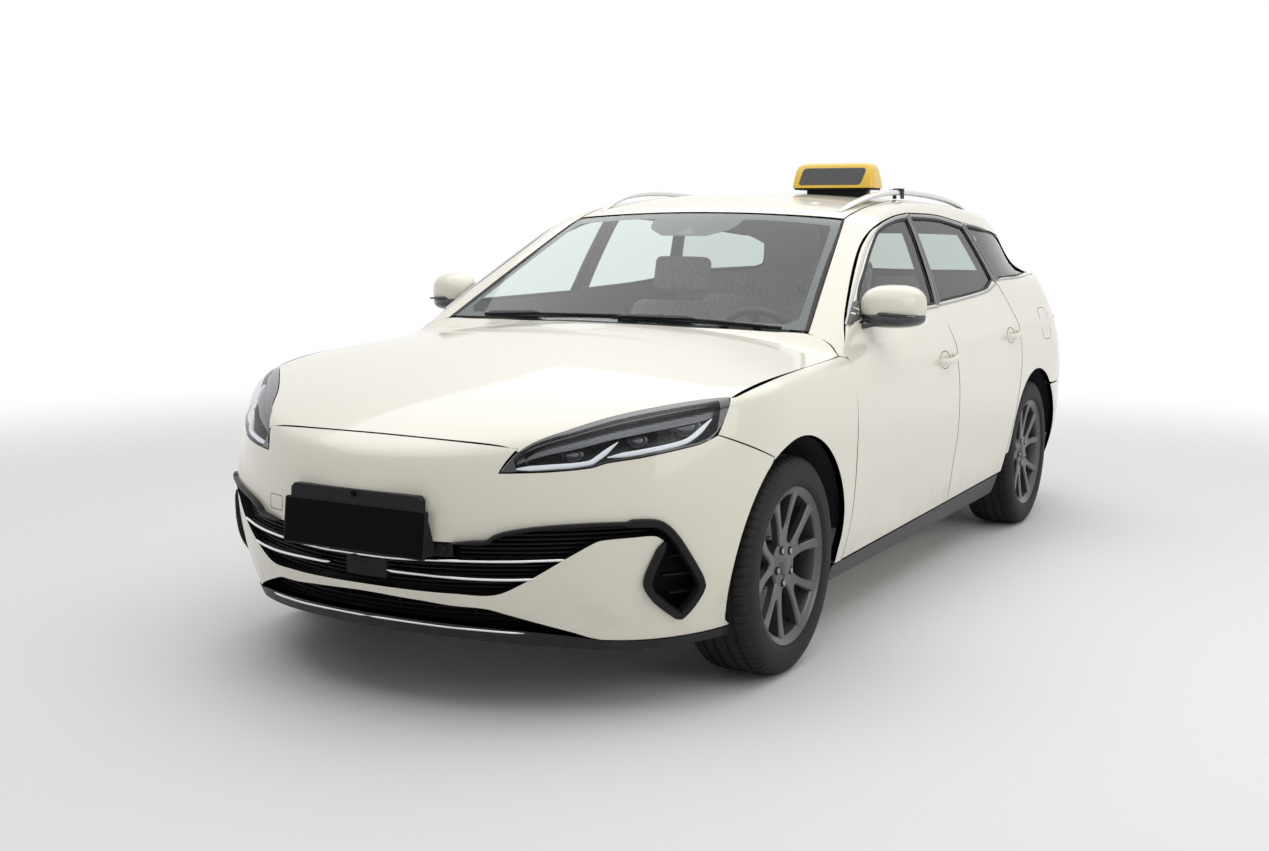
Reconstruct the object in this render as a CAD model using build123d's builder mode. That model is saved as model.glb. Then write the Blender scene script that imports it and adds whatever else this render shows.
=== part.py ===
"""Estate taxi with opening doors, hood and tailgate, steered wheels and a roof sign; millimetres, front at -Y."""
import os
from math import asin, cos, radians, sin, sqrt
from build123d import *

os.makedirs("parts", exist_ok=True)

# Driving dimensions
FRONT_AXLE_Y = -1455
REAR_AXLE_Y = 1335
HUB_Z = 338
WHEEL_X = 805
TYRE_R = 338
TYRE_HALF = 113
BEAD_R = 229
ARCH_R = 388
KINGPIN_X = 740
SHUT_GAP = 9
FIT = 0.3
SKIN = 8
LAMP_DEPTH = 24
BOX_IN = 80
DOOR_PIN_X = 909
FRONT_PIN_Y = -942
REAR_PIN_Y = 188
PIN_R = 7
HINGE_ZS = (470, 780)
HOOD_PIN_Y = -985
HOOD_PIN_Z = 925
TAIL_PIN_Y = 1952
TAIL_PIN_Z = 1392
STEER_AT = (370, -500, 900)
STEER_TILT = 25

# Lower body in plan at each height, columns: z, front_y, rear_y, half_width
TUB = [
    (185, -2315, 2290, 868),
    (380, -2390, 2406, 920),
    (620, -2406, 2422, 937.5),
    (800, -2352, 2400, 931),
    (960, -2300, 2362, 893),
    (1180, -2200, 2285, 780),
]
# Top of the lower body along its length, columns: y, centre_z, drop at 900 from the middle
DECK = [
    (-2500, 690, 60),
    (-2150, 822, 45),
    (-1800, 912, 35),
    (-1080, 1022, 85),
    (0, 1070, 22),
    (1200, 1144, 19),
    (2500, 1150, 18),
]
# Glasshouse in plan at each height, columns: z, front_y, rear_y, half_width
HOUSE = [
    (900, -1255, 2370, 872),
    (1040, -990, 2330, 843),
    (1240, -612, 2200, 768),
    (1430, -248, 2035, 676),
    (1560, 0, 1920, 600),
]
# Roof crown along its length, columns: y, centre_z, drop at 600 from the middle
ROOF = [
    (-1400, 1250, 38),
    (-400, 1394, 41),
    (0, 1460, 45),
    (500, 1489, 47),
    (1300, 1463, 46),
    (2200, 1388, 40),
    (2600, 1340, 40),
]

# Shut lines and glass edges seen from the side, as y, z
FRONT_DOOR = [
    (-1000, 318), (126, 318), (130, 600), (132, 940), (120, 1055), (185, 1424), (0, 1408), (-242, 1366),
    (-367, 1316), (-515, 1238), (-733, 1112), (-855, 1034), (-978, 936), (-992, 700),
]
REAR_DOOR = [
    (126, 318), (130, 600), (132, 940), (120, 1055), (185, 1424), (560, 1420), (868, 1392), (1033, 1128),
    (1085, 1000), (1095, 900), (1075, 780), (1030, 650), (985, 545), (930, 450), (908, 380), (902, 318),
]
FRONT_BOX = [(-850, 372), (44, 372), (44, 1026), (-790, 1012), (-850, 960)]
REAR_BOX = [(240, 372), (850, 372), (880, 460), (985, 620), (1040, 760), (1040, 1032), (240, 1032)]
FRONT_WINDOW = [
    (-690, 1062), (90, 1074), (146, 1394), (0, 1380), (-228, 1340), (-350, 1290), (-500, 1211), (-636, 1130),
]
REAR_WINDOW = [(166, 1080), (834, 1110), (975, 1144), (840, 1362), (556, 1390), (216, 1396)]
QUARTER_WINDOW = [(1075, 1152), (1400, 1156), (1440, 1172), (1300, 1316), (905, 1362)]
FENDER_SIDE = [
    (-2000, 832), (-1865, 783), (-1651, 699), (-1455, 300), (-1000, 300), (-1000, 1100), (-2000, 1100),
]
REAR_BUMPER_SIDE = [(1720, 150), (1720, 630), (1800, 712), (2500, 712), (2500, 150)]

# Shapes seen from the front or the rear, as x, z
LAMP_FRONT = [
    (410, 699), (445, 757), (640, 803), (790, 850), (849, 879), (960, 905), (960, 830), (845, 782), (700, 740),
    (560, 712),
]
INTAKE_FRONT = [
    (-20, 364), (378, 357), (463, 387), (573, 461), (644, 510), (726, 523), (785, 504), (750, 388), (760, 340),
    (790, 281), (837, 362), (801, 511), (762, 555), (615, 557), (450, 536), (400, 508), (-20, 506),
]
SLOT_FRONT = [(-20, 335), (284, 317), (421, 298), (568, 245), (590, 225), (-20, 225)]
SCREEN_FRONT = [(-733, 985), (733, 985), (598, 1394), (-598, 1394)]
PILLAR_FRONT = [(0, 1000), (800, 1000), (788, 1036), (742, 1115), (688, 1240), (642, 1370), (590, 1500), (0, 1500)]
TAILGATE_REAR = [
    (-606, 724), (606, 724), (636, 900), (646, 1050), (560, 1385), (535, 1500), (-535, 1500), (-560, 1385),
    (-646, 1050), (-636, 900),
]
TAIL_GLASS_REAR = [(-560, 1120), (560, 1120), (505, 1340), (-505, 1340)]

# Hood edge in plan, left half from the front centre round to the rear centre, as x, y
HOOD_EDGE = [
    (0, -2284), (230, -2279), (445, -2258), (640, -2122), (770, -1962), (849, -1791), (866, -1400), (858, -1012),
    (650, -1050), (420, -1076), (0, -1092),
]


# Body forms

def plan_face(z, front_y, rear_y, half, nose_r, nose_part, tail_r, tail_part, inset):
    """Closed plan outline of arcs and lines at height z, drawn in by inset."""

    def quarter(end_y, sign, bow_r, corner_part):
        wide = half - inset
        bow = bow_r - inset
        corner = max(wide - corner_part, 12)
        s = (wide - corner) / (bow - corner)
        c = sqrt(1 - s * s)
        tip_y = end_y - sign * inset
        turn = (bow * s, tip_y - sign * bow * (1 - c))
        centre = (turn[0] - corner * s, turn[1] - sign * corner * c)
        middle = (asin(s) + radians(90)) / 2
        via = (centre[0] + corner * sin(middle), centre[1] + sign * corner * cos(middle))
        return (0, tip_y), turn, via, (wide, centre[1])

    def other(point):
        return (-point[0], point[1])

    f_tip, f_turn, f_via, f_side = quarter(front_y, -1, nose_r, nose_part)
    r_tip, r_turn, r_via, r_side = quarter(rear_y, 1, tail_r, tail_part)
    with BuildSketch(Plane.XY.offset(z)) as face:
        with BuildLine():
            ThreePointArc(other(f_turn), f_tip, f_turn)
            ThreePointArc(f_turn, f_via, f_side)
            Line(f_side, r_side)
            ThreePointArc(r_side, r_via, r_turn)
            ThreePointArc(r_turn, r_tip, other(r_turn))
            ThreePointArc(other(r_turn), other(r_via), other(r_side))
            Line(other(r_side), other(f_side))
            ThreePointArc(other(f_side), other(f_via), other(f_turn))
        make_face()
    return face.sketch


def crown_face(y, centre_z, drop, span, reach, floor, inset):
    """Cross section with an arched top at length y."""
    radius = (span**2 + drop**2) / (2 * drop)
    edge_z = centre_z - inset - (radius - sqrt(radius**2 - reach**2))
    with BuildSketch(Plane.XZ.offset(-y)) as face:
        with BuildLine():
            Line((-reach, floor), (reach, floor))
            Line((reach, floor), (reach, edge_z))
            ThreePointArc((reach, edge_z), (0, centre_z - inset), (-reach, edge_z))
            Line((-reach, edge_z), (-reach, floor))
        make_face()
    return face.sketch


def house_form(inset):
    """Glasshouse with its roof, drawn in by inset."""
    with BuildPart() as crown:
        loft([crown_face(y, z, drop, 600, 1000, 700, inset) for y, z, drop in ROOF])
    with BuildPart() as house:
        loft([plan_face(z, f, r, w, 2900, 0.87 * w, 2500, 0.73 * w, inset) for z, f, r, w in HOUSE])
        add(crown.part, mode=Mode.INTERSECT)
    return house.part


def body_form(inset):
    """Whole outer form, drawn in by inset."""
    with BuildPart() as deck:
        loft([crown_face(y, z, drop, 900, 1100, 0, inset) for y, z, drop in DECK])
    with BuildPart() as body:
        loft([plan_face(z, f, r, w, 1000, 165, 2000, 187, inset) for z, f, r, w in TUB])
        add(deck.part, mode=Mode.INTERSECT)
        add(house_form(inset))
    return body.part


FORM = {inset: body_form(inset) for inset in (0, SKIN, LAMP_DEPTH, BOX_IN)}
PANE = {inset: house_form(inset) for inset in (0, 3, 8)}


def side_block(points, grow=0, x_from=300, x_to=1200):
    """Left-hand block with the given outline seen from the side."""
    with BuildPart() as block:
        with BuildSketch(Plane.YZ.offset(x_from)):
            with BuildLine():
                Polyline(*points, close=True)
            make_face()
            if grow:
                offset(amount=grow, kind=Kind.INTERSECTION, mode=Mode.REPLACE)
        extrude(amount=x_to - x_from)
    return block.part


def end_block(points, y_from, y_to, grow=0):
    """Block with the given outline seen along the car."""
    with BuildPart() as block:
        with BuildSketch(Plane.XZ.offset(-y_from)):
            with BuildLine():
                Polyline(*points, close=True)
            make_face()
            if grow:
                offset(amount=grow, kind=Kind.INTERSECTION, mode=Mode.REPLACE)
        extrude(amount=y_from - y_to)
    return block.part


def hood_block(grow):
    """Upright block with the hood's outline in plan."""
    other_half = [(-x, y) for x, y in HOOD_EDGE[-2:0:-1]]
    with BuildPart() as block:
        with BuildSketch(Plane.XY.offset(600)):
            with BuildLine():
                Polyline(*HOOD_EDGE, *other_half, close=True)
            make_face()
            offset(amount=grow, kind=Kind.INTERSECTION, mode=Mode.REPLACE)
        extrude(amount=600)
    return block.part


def box(x, y, z):
    """Plain block between pairs of limits."""
    with BuildPart() as block:
        with Locations(((x[0] + x[1]) / 2, (y[0] + y[1]) / 2, (z[0] + z[1]) / 2)):
            Box(x[1] - x[0], y[1] - y[0], z[1] - z[0])
    return block.part


def rod(start, end, radius):
    """Round bar between two points."""
    with BuildPart() as bar:
        path = Vector(*end) - Vector(*start)
        with BuildSketch(Plane(origin=start, z_dir=path)):
            Circle(radius)
        extrude(amount=path.length)
    return bar.part


def layer(outer, inner, keep, *cuts):
    """Piece of the body wall between two insets, inside keep and clear of the cuts."""
    with BuildPart() as wall:
        add(FORM[outer])
        add(keep, mode=Mode.INTERSECT)
        add(FORM[inner], mode=Mode.SUBTRACT)
        for cut in cuts:
            add(cut, mode=Mode.SUBTRACT)
    return wall.part


def arch(axle_y, radius):
    """Round clearance over one left wheel."""
    return rod((440, axle_y, HUB_Z), (1200, axle_y, HUB_Z), radius)


def save(part, name):
    """Label one sub-part and write its file."""
    part.label = name
    export_step(part, f"parts/{name}.step")


HALF_GAP = SHUT_GAP / 2


def door_zone(points, grow):
    """Left side block of a door, kept outside the windscreen pillar."""
    with BuildPart() as zone:
        add(side_block(points, grow))
        add(end_block(PILLAR_FRONT, 2500, -2500, -grow), mode=Mode.SUBTRACT)
    return zone.part


HOOD_CUT = hood_block(HALF_GAP)
FRONT_DOOR_CUT = door_zone(FRONT_DOOR, HALF_GAP)
REAR_DOOR_CUT = door_zone(REAR_DOOR, HALF_GAP)
LAMP_CUT = end_block(LAMP_FRONT, -1700, -2500)
SCREEN_CUT = end_block(SCREEN_FRONT, -150, -1300)
TAILGATE_CUT = end_block(TAILGATE_REAR, 1935 - HALF_GAP, 2500, HALF_GAP)
TAIL_LAMP_CUT = box((600, 1200), (1820, 2500), (892, 986))
FRONT_ARCH = arch(FRONT_AXLE_Y, ARCH_R)
REAR_ARCH = arch(REAR_AXLE_Y, ARCH_R)


# Floor, bulkhead, rails and rear panel: the welded base that carries everything else
with BuildPart() as floor_pan:
    add(box((-770, 770), (-990, 810), (215, 235)))
    add(box((-770, 770), (790, 810), (215, 520)))
    add(box((-540, 540), (790, 2300), (500, 520)))
    add(box((-540, 540), (2280, 2300), (420, 690)))
    add(box((-700, 700), (-990, -970), (215, 860)))
    for side in (-1, 1):
        add(box(sorted((side * 380, side * 430)), (-2150, -970), (400, 480)))
        add(box(sorted((side * 380, side * 430)), (-2170, -2130), (400, 690)))
    add(box((-430, 430), (-2170, -2130), (640, 690)))
save(floor_pan.part, "floor_pan")

# Beams just inside the skins that tie both bumpers to the base
with BuildPart() as bumper_beams:
    add(FORM[SKIN])
    with BuildPart(mode=Mode.PRIVATE) as reach:
        add(box((-600, 600), (-2500, -2170.3), (640, 690)))
        add(box((-700, 700), (2300.3, 2500), (560, 620)))
    add(reach.part, mode=Mode.INTERSECT)
save(bumper_beams.part, "bumper_beams")

# Side frames: sill, pillars and roof side on each hand, with open doorways
with BuildPart() as side_frames:
    add(layer(
        0, BOX_IN, box((300, 1200), (-940, 890), (1000, 1600)), box((0, 1200), (-856, 1000), (900, 1042)),
        SCREEN_CUT, FRONT_DOOR_CUT, REAR_DOOR_CUT, box((0, 588.5), (-345, 2500), (1300, 1700)),
    ))
    add(box((770.3, 862), (-985, 890), (215, 350)))
    add(box((850, 870), (-990, -945), (316, 352)), mode=Mode.SUBTRACT)
    add(box((846, 870), (145, 185), (316, 352)), mode=Mode.SUBTRACT)
    add(box((745, 830), (-985, -868), (350, 1034)))
    add(box((745, 815), (60, 205), (350, 1045)))
    with BuildSketch(Plane.XZ.offset(-205)):
        with BuildLine():
            Polyline((745, 1030), (806, 1030), (806, 1050), (652, 1408), (600, 1408), close=True)
        make_face()
    extrude(amount=85)
    mirror(about=Plane.YZ)
save(side_frames.part, "side_frames")

# Dark sill skirts below the doors
with BuildPart() as side_skirts:
    add(FORM[0])
    add(box((862.3, 1200), (-1060, 898), (190, 308)), mode=Mode.INTERSECT)
    add(FRONT_ARCH, mode=Mode.SUBTRACT)
    mirror(about=Plane.YZ)
save(side_skirts.part, "side_skirts")

# Roof skin between the two roof sides, from the screen's top edge to the tailgate, with the tailgate's hinge pins
with BuildPart() as roof_panel:
    add(layer(0, SKIN, box((-587.5, 587.5), (-330, 1935 - HALF_GAP), (1300, 1700)), SCREEN_CUT))
    for x in (-420, 420):
        add(box((x + 17, x + 31), (1900, 1960), (1384, 1400)))
        add(rod((x - 12, TAIL_PIN_Y, TAIL_PIN_Z), (x + 24, TAIL_PIN_Y, TAIL_PIN_Z), 6))
save(roof_panel.part, "roof_panel")

# Windscreen between the pillars, roof edge and cowl
with BuildPart() as windscreen:
    add(PANE[0])
    add(end_block(SCREEN_FRONT, -150, -1300, -0.5), mode=Mode.INTERSECT)
    add(PANE[8], mode=Mode.SUBTRACT)
    for x in (-600, 600):
        add(box((x - 14, x + 14), (-1050, -985), (960, 1008)), mode=Mode.SUBTRACT)
save(windscreen.part, "windscreen")

# Cowl strip between the hood's rear edge and the screen, with the bulkhead's upper lip
with BuildPart() as cowl:
    add(layer(0, LAMP_DEPTH, box((-856, 856), (-1110, -960), (800, 1200)), HOOD_CUT, PANE[0]))
    with BuildPart(mode=Mode.PRIVATE) as lip:
        add(FORM[SKIN])
        add(box((-540, 540), (-990, -970), (860, 1200)), mode=Mode.INTERSECT)
        add(PANE[0], mode=Mode.SUBTRACT)
    add(lip.part)
    for x in (-600, 600):
        add(box((x - 24, x + 24), (-1110, -965), (800, 1200)), mode=Mode.SUBTRACT)
save(cowl.part, "cowl")

# Front fenders, one skin over each front wheel
with BuildPart() as front_fenders:
    add(layer(
        0, SKIN, side_block(FENDER_SIDE, 0, 640), HOOD_CUT, LAMP_CUT, FRONT_DOOR_CUT, FRONT_ARCH,
        box((0, 856.5), (-1110, -900), (800, 1300)), box((0, 1200), (-940, -900), (1000, 1300)),
        box((0, 1200), (-1200, -900), (200, 308.5)),
    ))
    mirror(about=Plane.YZ)
save(front_fenders.part, "front_fenders")

# Front bumper skin with the hooked openings that run from the intake to the side vents, and the slot below
with BuildPart() as front_bumper:
    add(layer(
        0, SKIN, box((0, 1200), (-2500, -1500), (236, 790)), HOOD_CUT, LAMP_CUT, FRONT_ARCH,
        side_block(FENDER_SIDE, 0.5, 500), end_block(INTAKE_FRONT, -1700, -2500), end_block(SLOT_FRONT, -1700, -2500),
        box((448, 660), (-2500, -2050), (757, 900)),
    ))
    mirror(about=Plane.YZ)
save(front_bumper.part, "front_bumper")

# Headlamps, one deep shell behind each clear cover
with BuildPart() as headlamps:
    add(layer(0, LAMP_DEPTH, end_block(LAMP_FRONT, -1700, -2500, -0.5), HOOD_CUT, box((0, 400), (-2500, 0), (0, 2000))))
    mirror(about=Plane.YZ)
save(headlamps.part, "headlamps")

# Hood with two hinge arms reaching back and down to the pins
with BuildPart() as hood:
    add(layer(0, SKIN, hood_block(-HALF_GAP)))
    for x in (-600, 600):
        with BuildSketch(Plane.YZ.offset(x - 8)):
            with BuildLine():
                Polyline((-1150, 971), (-1105, 977), (-985, 941), (-985, 909), (-1030, 915), close=True)
            make_face()
        extrude(amount=16)
        add(rod((x - 8, HOOD_PIN_Y, HOOD_PIN_Z), (x + 8, HOOD_PIN_Y, HOOD_PIN_Z), 16))
        add(rod((x - 9, HOOD_PIN_Y, HOOD_PIN_Z), (x + 9, HOOD_PIN_Y, HOOD_PIN_Z), 8.05), mode=Mode.SUBTRACT)
save(hood.part, "hood")

# Hood hinge brackets on the bulkhead
with BuildPart() as hood_hinges:
    for x in (-600, 600):
        add(box((x - 34, x - 14), (-999, -970), (860.3, 941)))
        add(rod((x - 20, HOOD_PIN_Y, HOOD_PIN_Z), (x + 12, HOOD_PIN_Y, HOOD_PIN_Z), 8))
save(hood_hinges.part, "hood_hinges")


def door_part(outline, window, inner, pin_y):
    """Left door: thin outer skin, window frame, inner box and hinge barrels."""
    with BuildPart() as door:
        add(layer(0, SKIN, door_zone(outline, -HALF_GAP), side_block(window)))
        add(layer(SKIN, BOX_IN, side_block(inner, 0, 700)))
        for z in HINGE_ZS:
            add(rod((DOOR_PIN_X, pin_y, z - 20), (DOOR_PIN_X, pin_y, z + 20), 12))
            add(box((DOOR_PIN_X - 12, DOOR_PIN_X + 4), (pin_y, pin_y + 100), (z - 20, z + 20)))
            add(rod((DOOR_PIN_X, pin_y, z - 30), (DOOR_PIN_X, pin_y, z + 30), PIN_R + 0.05), mode=Mode.SUBTRACT)
    return door.part


def glass_part(window):
    """Left pane set in a window opening."""
    with BuildPart() as pane:
        add(PANE[3])
        add(side_block(window, -0.3), mode=Mode.INTERSECT)
        add(PANE[8], mode=Mode.SUBTRACT)
    return pane.part


DOORS = {
    "front": door_part(FRONT_DOOR, FRONT_WINDOW, FRONT_BOX, FRONT_PIN_Y),
    "rear": door_part(REAR_DOOR, REAR_WINDOW, REAR_BOX, REAR_PIN_Y),
}
PANES = {"front": glass_part(FRONT_WINDOW), "rear": glass_part(REAR_WINDOW)}

# Four doors and their panes
for end in ("front", "rear"):
    save(DOORS[end], f"{end}_door_left")
    save(mirror(DOORS[end], about=Plane.YZ), f"{end}_door_right")
    save(PANES[end], f"{end}_door_glass_left")
    save(mirror(PANES[end], about=Plane.YZ), f"{end}_door_glass_right")

# Door hinge arms on the pillars, each with a pin through the door's barrel
with BuildPart() as door_hinges:
    for pin_y in (FRONT_PIN_Y, REAR_PIN_Y):
        for z in HINGE_ZS:
            for low in (z - 28, z + 21):
                add(box((830.3, DOOR_PIN_X + 2), (pin_y - 9, pin_y + 9), (low, low + 7)))
            add(rod((DOOR_PIN_X, pin_y, z - 28), (DOOR_PIN_X, pin_y, z + 28), PIN_R))
            add(box((830.3, 850), (pin_y - 9, pin_y + 9), (z - 28, z + 28)))
    mirror(about=Plane.YZ)
save(door_hinges.part, "door_hinges")


# Door mirrors: rounded housing on a short foot that stands on the door's shoulder
with BuildPart() as mirror_left:
    with BuildSketch(Plane.YZ.offset(900)):
        with Locations((-600, 1098)):
            RectangleRounded(120, 128, 34)
    with BuildSketch(Plane.YZ.offset(1036)):
        with Locations((-585, 1100)):
            RectangleRounded(76, 92, 30)
    loft()
    with BuildPart(mode=Mode.PRIVATE) as foot:
        with BuildSketch(Plane.YZ.offset(812)):
            with BuildLine():
                Polyline((-690, 1036), (-610, 1036), (-585, 1072), (-640, 1072), close=True)
            make_face()
        extrude(amount=120)
        add(FORM[0], mode=Mode.SUBTRACT)
    add(foot.part)
save(mirror_left.part, "mirror_left")
save(mirror(mirror_left.part, about=Plane.YZ), "mirror_right")

# Rear quarters over the rear wheels, up to the roof side, with a fixed window
with BuildPart() as quarter_panels:
    add(layer(
        0, SKIN, box((300, 1200), (890.3, 2500), (300, 1600)), REAR_DOOR_CUT, TAILGATE_CUT, TAIL_LAMP_CUT,
        side_block(REAR_BUMPER_SIDE, 0.5), side_block(QUARTER_WINDOW), REAR_ARCH,
        box((0, 588), (-300, 2500), (1300, 1700)), box((300, 1200), (800, 1120), (300, 420)),
    ))
    mirror(about=Plane.YZ)
save(quarter_panels.part, "quarter_panels")

# Fixed quarter panes
with BuildPart() as quarter_glass:
    add(glass_part(QUARTER_WINDOW))
    mirror(about=Plane.YZ)
save(quarter_glass.part, "quarter_glass")

# Tail lamps on the quarters
with BuildPart() as tail_lamps:
    add(layer(0, SKIN, TAIL_LAMP_CUT, TAILGATE_CUT))
    mirror(about=Plane.YZ)
save(tail_lamps.part, "tail_lamps")

# Rear bumper skin
with BuildPart() as rear_bumper:
    add(layer(0, SKIN, side_block(REAR_BUMPER_SIDE, 0, 0), REAR_ARCH, TAILGATE_CUT))
    mirror(about=Plane.YZ)
save(rear_bumper.part, "rear_bumper")

# Tailgate with its roof edge, lamp bar recess, window opening and hinge eyes
with BuildPart() as tailgate:
    add(layer(
        0, SKIN, end_block(TAILGATE_REAR, 1935 + HALF_GAP, 2500, -HALF_GAP), end_block(TAIL_GLASS_REAR, 1950, 2500),
    ))
    with BuildPart(mode=Mode.PRIVATE) as bar:
        add(layer(0, SKIN, box((-600, 600), (1950, 2500), (905, 972))))
    add(bar.part, mode=Mode.SUBTRACT)
    for x in (-420, 420):
        add(box((x + 12, x + 37), (1925, 1975), (1340, 1440)), mode=Mode.SUBTRACT)
        add(rod((x - 12, TAIL_PIN_Y, TAIL_PIN_Z), (x + 12, TAIL_PIN_Y, TAIL_PIN_Z), 12))
        add(rod((x - 14, TAIL_PIN_Y, TAIL_PIN_Z), (x + 14, TAIL_PIN_Y, TAIL_PIN_Z), 6.05), mode=Mode.SUBTRACT)
save(tailgate.part, "tailgate")
save(bar.part, "light_bar")

# Tailgate pane
with BuildPart() as tailgate_glass:
    add(PANE[3])
    add(end_block(TAIL_GLASS_REAR, 1950, 2500, -0.3), mode=Mode.INTERSECT)
    add(PANE[8], mode=Mode.SUBTRACT)
save(tailgate_glass.part, "tailgate_glass")

# Tyre and wheel, turned about the axle, outer face towards +X
with BuildPart() as tyre:
    with BuildSketch(Plane.XY):
        with BuildLine():
            Polyline(
                (-94, TYRE_R), (94, TYRE_R), (112, 306), (TYRE_HALF, 276), (100, BEAD_R), (-100, BEAD_R),
                (-TYRE_HALF, 276), (-112, 306), close=True,
            )
        make_face()
    revolve(axis=Axis.X)

with BuildPart() as rim:
    with BuildSketch(Plane.XY):
        with BuildLine():
            Polyline(
                (-107, 234), (-102, 234), (-102, BEAD_R - FIT), (102, BEAD_R - FIT), (102, 234), (107, 234), (107, 216),
                (60, 206), (-107, 206), close=True,
            )
        make_face()
    revolve(axis=Axis.X)
    add(rod((30, 0, 0), (84, 0, 0), 74))
    for turn in range(5):
        for lean in (-13, 13):
            with BuildPart(mode=Mode.PRIVATE) as spoke:
                with BuildSketch(Plane.XY):
                    with BuildLine():
                        Polyline((44, 40), (84, 40), (100, 215), (62, 215), close=True)
                    make_face()
                extrude(amount=13, both=True)
            add(spoke.part.rotate(Axis.X, turn * 72 + lean))
    add(rod((20, 0, 0), (70, 0, 0), 30.05), mode=Mode.SUBTRACT)

# Four wheels: corner name, side, axle
WHEELS = [
    ("front_left", 1, FRONT_AXLE_Y),
    ("front_right", -1, FRONT_AXLE_Y),
    ("rear_left", 1, REAR_AXLE_Y),
    ("rear_right", -1, REAR_AXLE_Y),
]
for corner, side, axle_y in WHEELS:
    place = Pos(side * WHEEL_X, axle_y, HUB_Z) * Rot(0, 0, 0 if side > 0 else 180)
    save(place * tyre.part, f"tyre_{corner}")
    save(place * rim.part, f"rim_{corner}")

# Steering knuckles with stub axle and kingpin
with BuildPart() as knuckle_left:
    add(box((716, 764), (FRONT_AXLE_Y - 48, FRONT_AXLE_Y + 48), (240, 440)))
    add(rod((760, FRONT_AXLE_Y, HUB_Z), (872, FRONT_AXLE_Y, HUB_Z), 30))
    add(rod((KINGPIN_X, FRONT_AXLE_Y, 176), (KINGPIN_X, FRONT_AXLE_Y, 500), 12))
save(knuckle_left.part, "knuckle_left")
save(mirror(knuckle_left.part, about=Plane.YZ), "knuckle_right")

# Front subframe with a lower and an upper arm to each kingpin
with BuildPart() as front_subframe:
    add(box((-480, 480), (-1570, -1340), (190, 262)))
    for side in (-1, 1):
        add(box(sorted((side * 430.3, side * 480)), (-1500, -1410), (200, 500)))
        for z in (182, 466):
            add(box(sorted((side * 440, side * KINGPIN_X)), (-1480, -1430), (z, z + 26)))
            add(rod((side * KINGPIN_X, FRONT_AXLE_Y, z), (side * KINGPIN_X, FRONT_AXLE_Y, z + 26), 25))
            add(rod((side * KINGPIN_X, FRONT_AXLE_Y, z - 1), (side * KINGPIN_X, FRONT_AXLE_Y, z + 27), 12.05), mode=Mode.SUBTRACT)
save(front_subframe.part, "front_subframe")

# Rear axle beam with trailing arms and stub axles
with BuildPart() as rear_axle:
    add(rod((-700, REAR_AXLE_Y, HUB_Z), (700, REAR_AXLE_Y, HUB_Z), 34))
    for side in (-1, 1):
        add(rod((side * 690, REAR_AXLE_Y, HUB_Z), (side * 872, REAR_AXLE_Y, HUB_Z), 30))
        add(box(sorted((side * 560, side * 620)), (810.3, REAR_AXLE_Y), (300, 376)))
save(rear_axle.part, "rear_axle")

# Arch liners behind the skins, one round shell over each wheel
with BuildPart() as arch_liners:
    for axle_y, x_in in ((FRONT_AXLE_Y, 500), (REAR_AXLE_Y, 541)):
        with BuildPart(mode=Mode.PRIVATE) as liner:
            add(FORM[SKIN])
            add(rod((x_in, axle_y, HUB_Z), (1000, axle_y, HUB_Z), 412), mode=Mode.INTERSECT)
            add(rod((x_in - 50, axle_y, HUB_Z), (1100, axle_y, HUB_Z), 406), mode=Mode.SUBTRACT)
            add(box((0, 1200), (axle_y - 600, axle_y + 600), (0, 384)), mode=Mode.SUBTRACT)
        add(liner.part)
    add(box((541, 545), (REAR_AXLE_Y - 330, REAR_AXLE_Y + 330), (500, 600)))
    mirror(about=Plane.YZ)
save(arch_liners.part, "arch_liners")

# Intake grille: one curved plate behind the bumper's hooked openings, pierced by level slots and vent slots
with BuildPart() as grille:
    add(layer(SKIN, LAMP_DEPTH, end_block(INTAKE_FRONT, -1700, -2500, -0.4)))
    mirror(about=Plane.YZ)
    for z in range(372, 490, 22):
        half_slot = 400 + 1.35 * (z - 372)
        for side in (-1, 1):
            add(box(sorted((side * 90, side * half_slot)), (-2500, -2000), (z, z + 12)), mode=Mode.SUBTRACT)
    for z in (345, 385, 425):
        for side in (-1, 1):
            add(box(sorted((side * 768, side * 812)), (-2300, -1800), (z, z + 28)), mode=Mode.SUBTRACT)
save(grille.part, "grille")

# Black lip along the bumper's lower edge
with BuildPart() as lower_lip:
    add(layer(0, LAMP_DEPTH, box((0, 1200), (-2500, -1600), (188, 235.5)), FRONT_ARCH))
    mirror(about=Plane.YZ)
save(lower_lip.part, "lower_lip")

# Blank number plate holder
with BuildPart() as front_plate:
    add(box((-250, 250), (-2423, -2380), (464, 598)))
    fillet(front_plate.edges().filter_by(Axis.Y), 10)
    add(Pos(0, -FIT, 0) * FORM[0], mode=Mode.SUBTRACT)
save(front_plate.part, "front_plate")

# Roof rails on feet
with BuildPart() as roof_rails:
    with BuildSketch(Plane.YZ.offset(562)):
        with BuildLine():
            ThreePointArc((-223, 1412), (480, 1518), (1462, 1432))
            Line((1462, 1432), (1380, 1418))
            ThreePointArc((1380, 1418), (480, 1493), (-130, 1408))
            Line((-130, 1408), (-223, 1412))
        make_face()
    extrude(amount=26)
    for y in (-210, 600, 1360):
        add(box((564, 586), (y, y + 90), (1350, 1428 if y != 600 else 1500)))
    add(FORM[0], mode=Mode.SUBTRACT)
    mirror(about=Plane.YZ)
save(roof_rails.part, "roof_rails")

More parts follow.
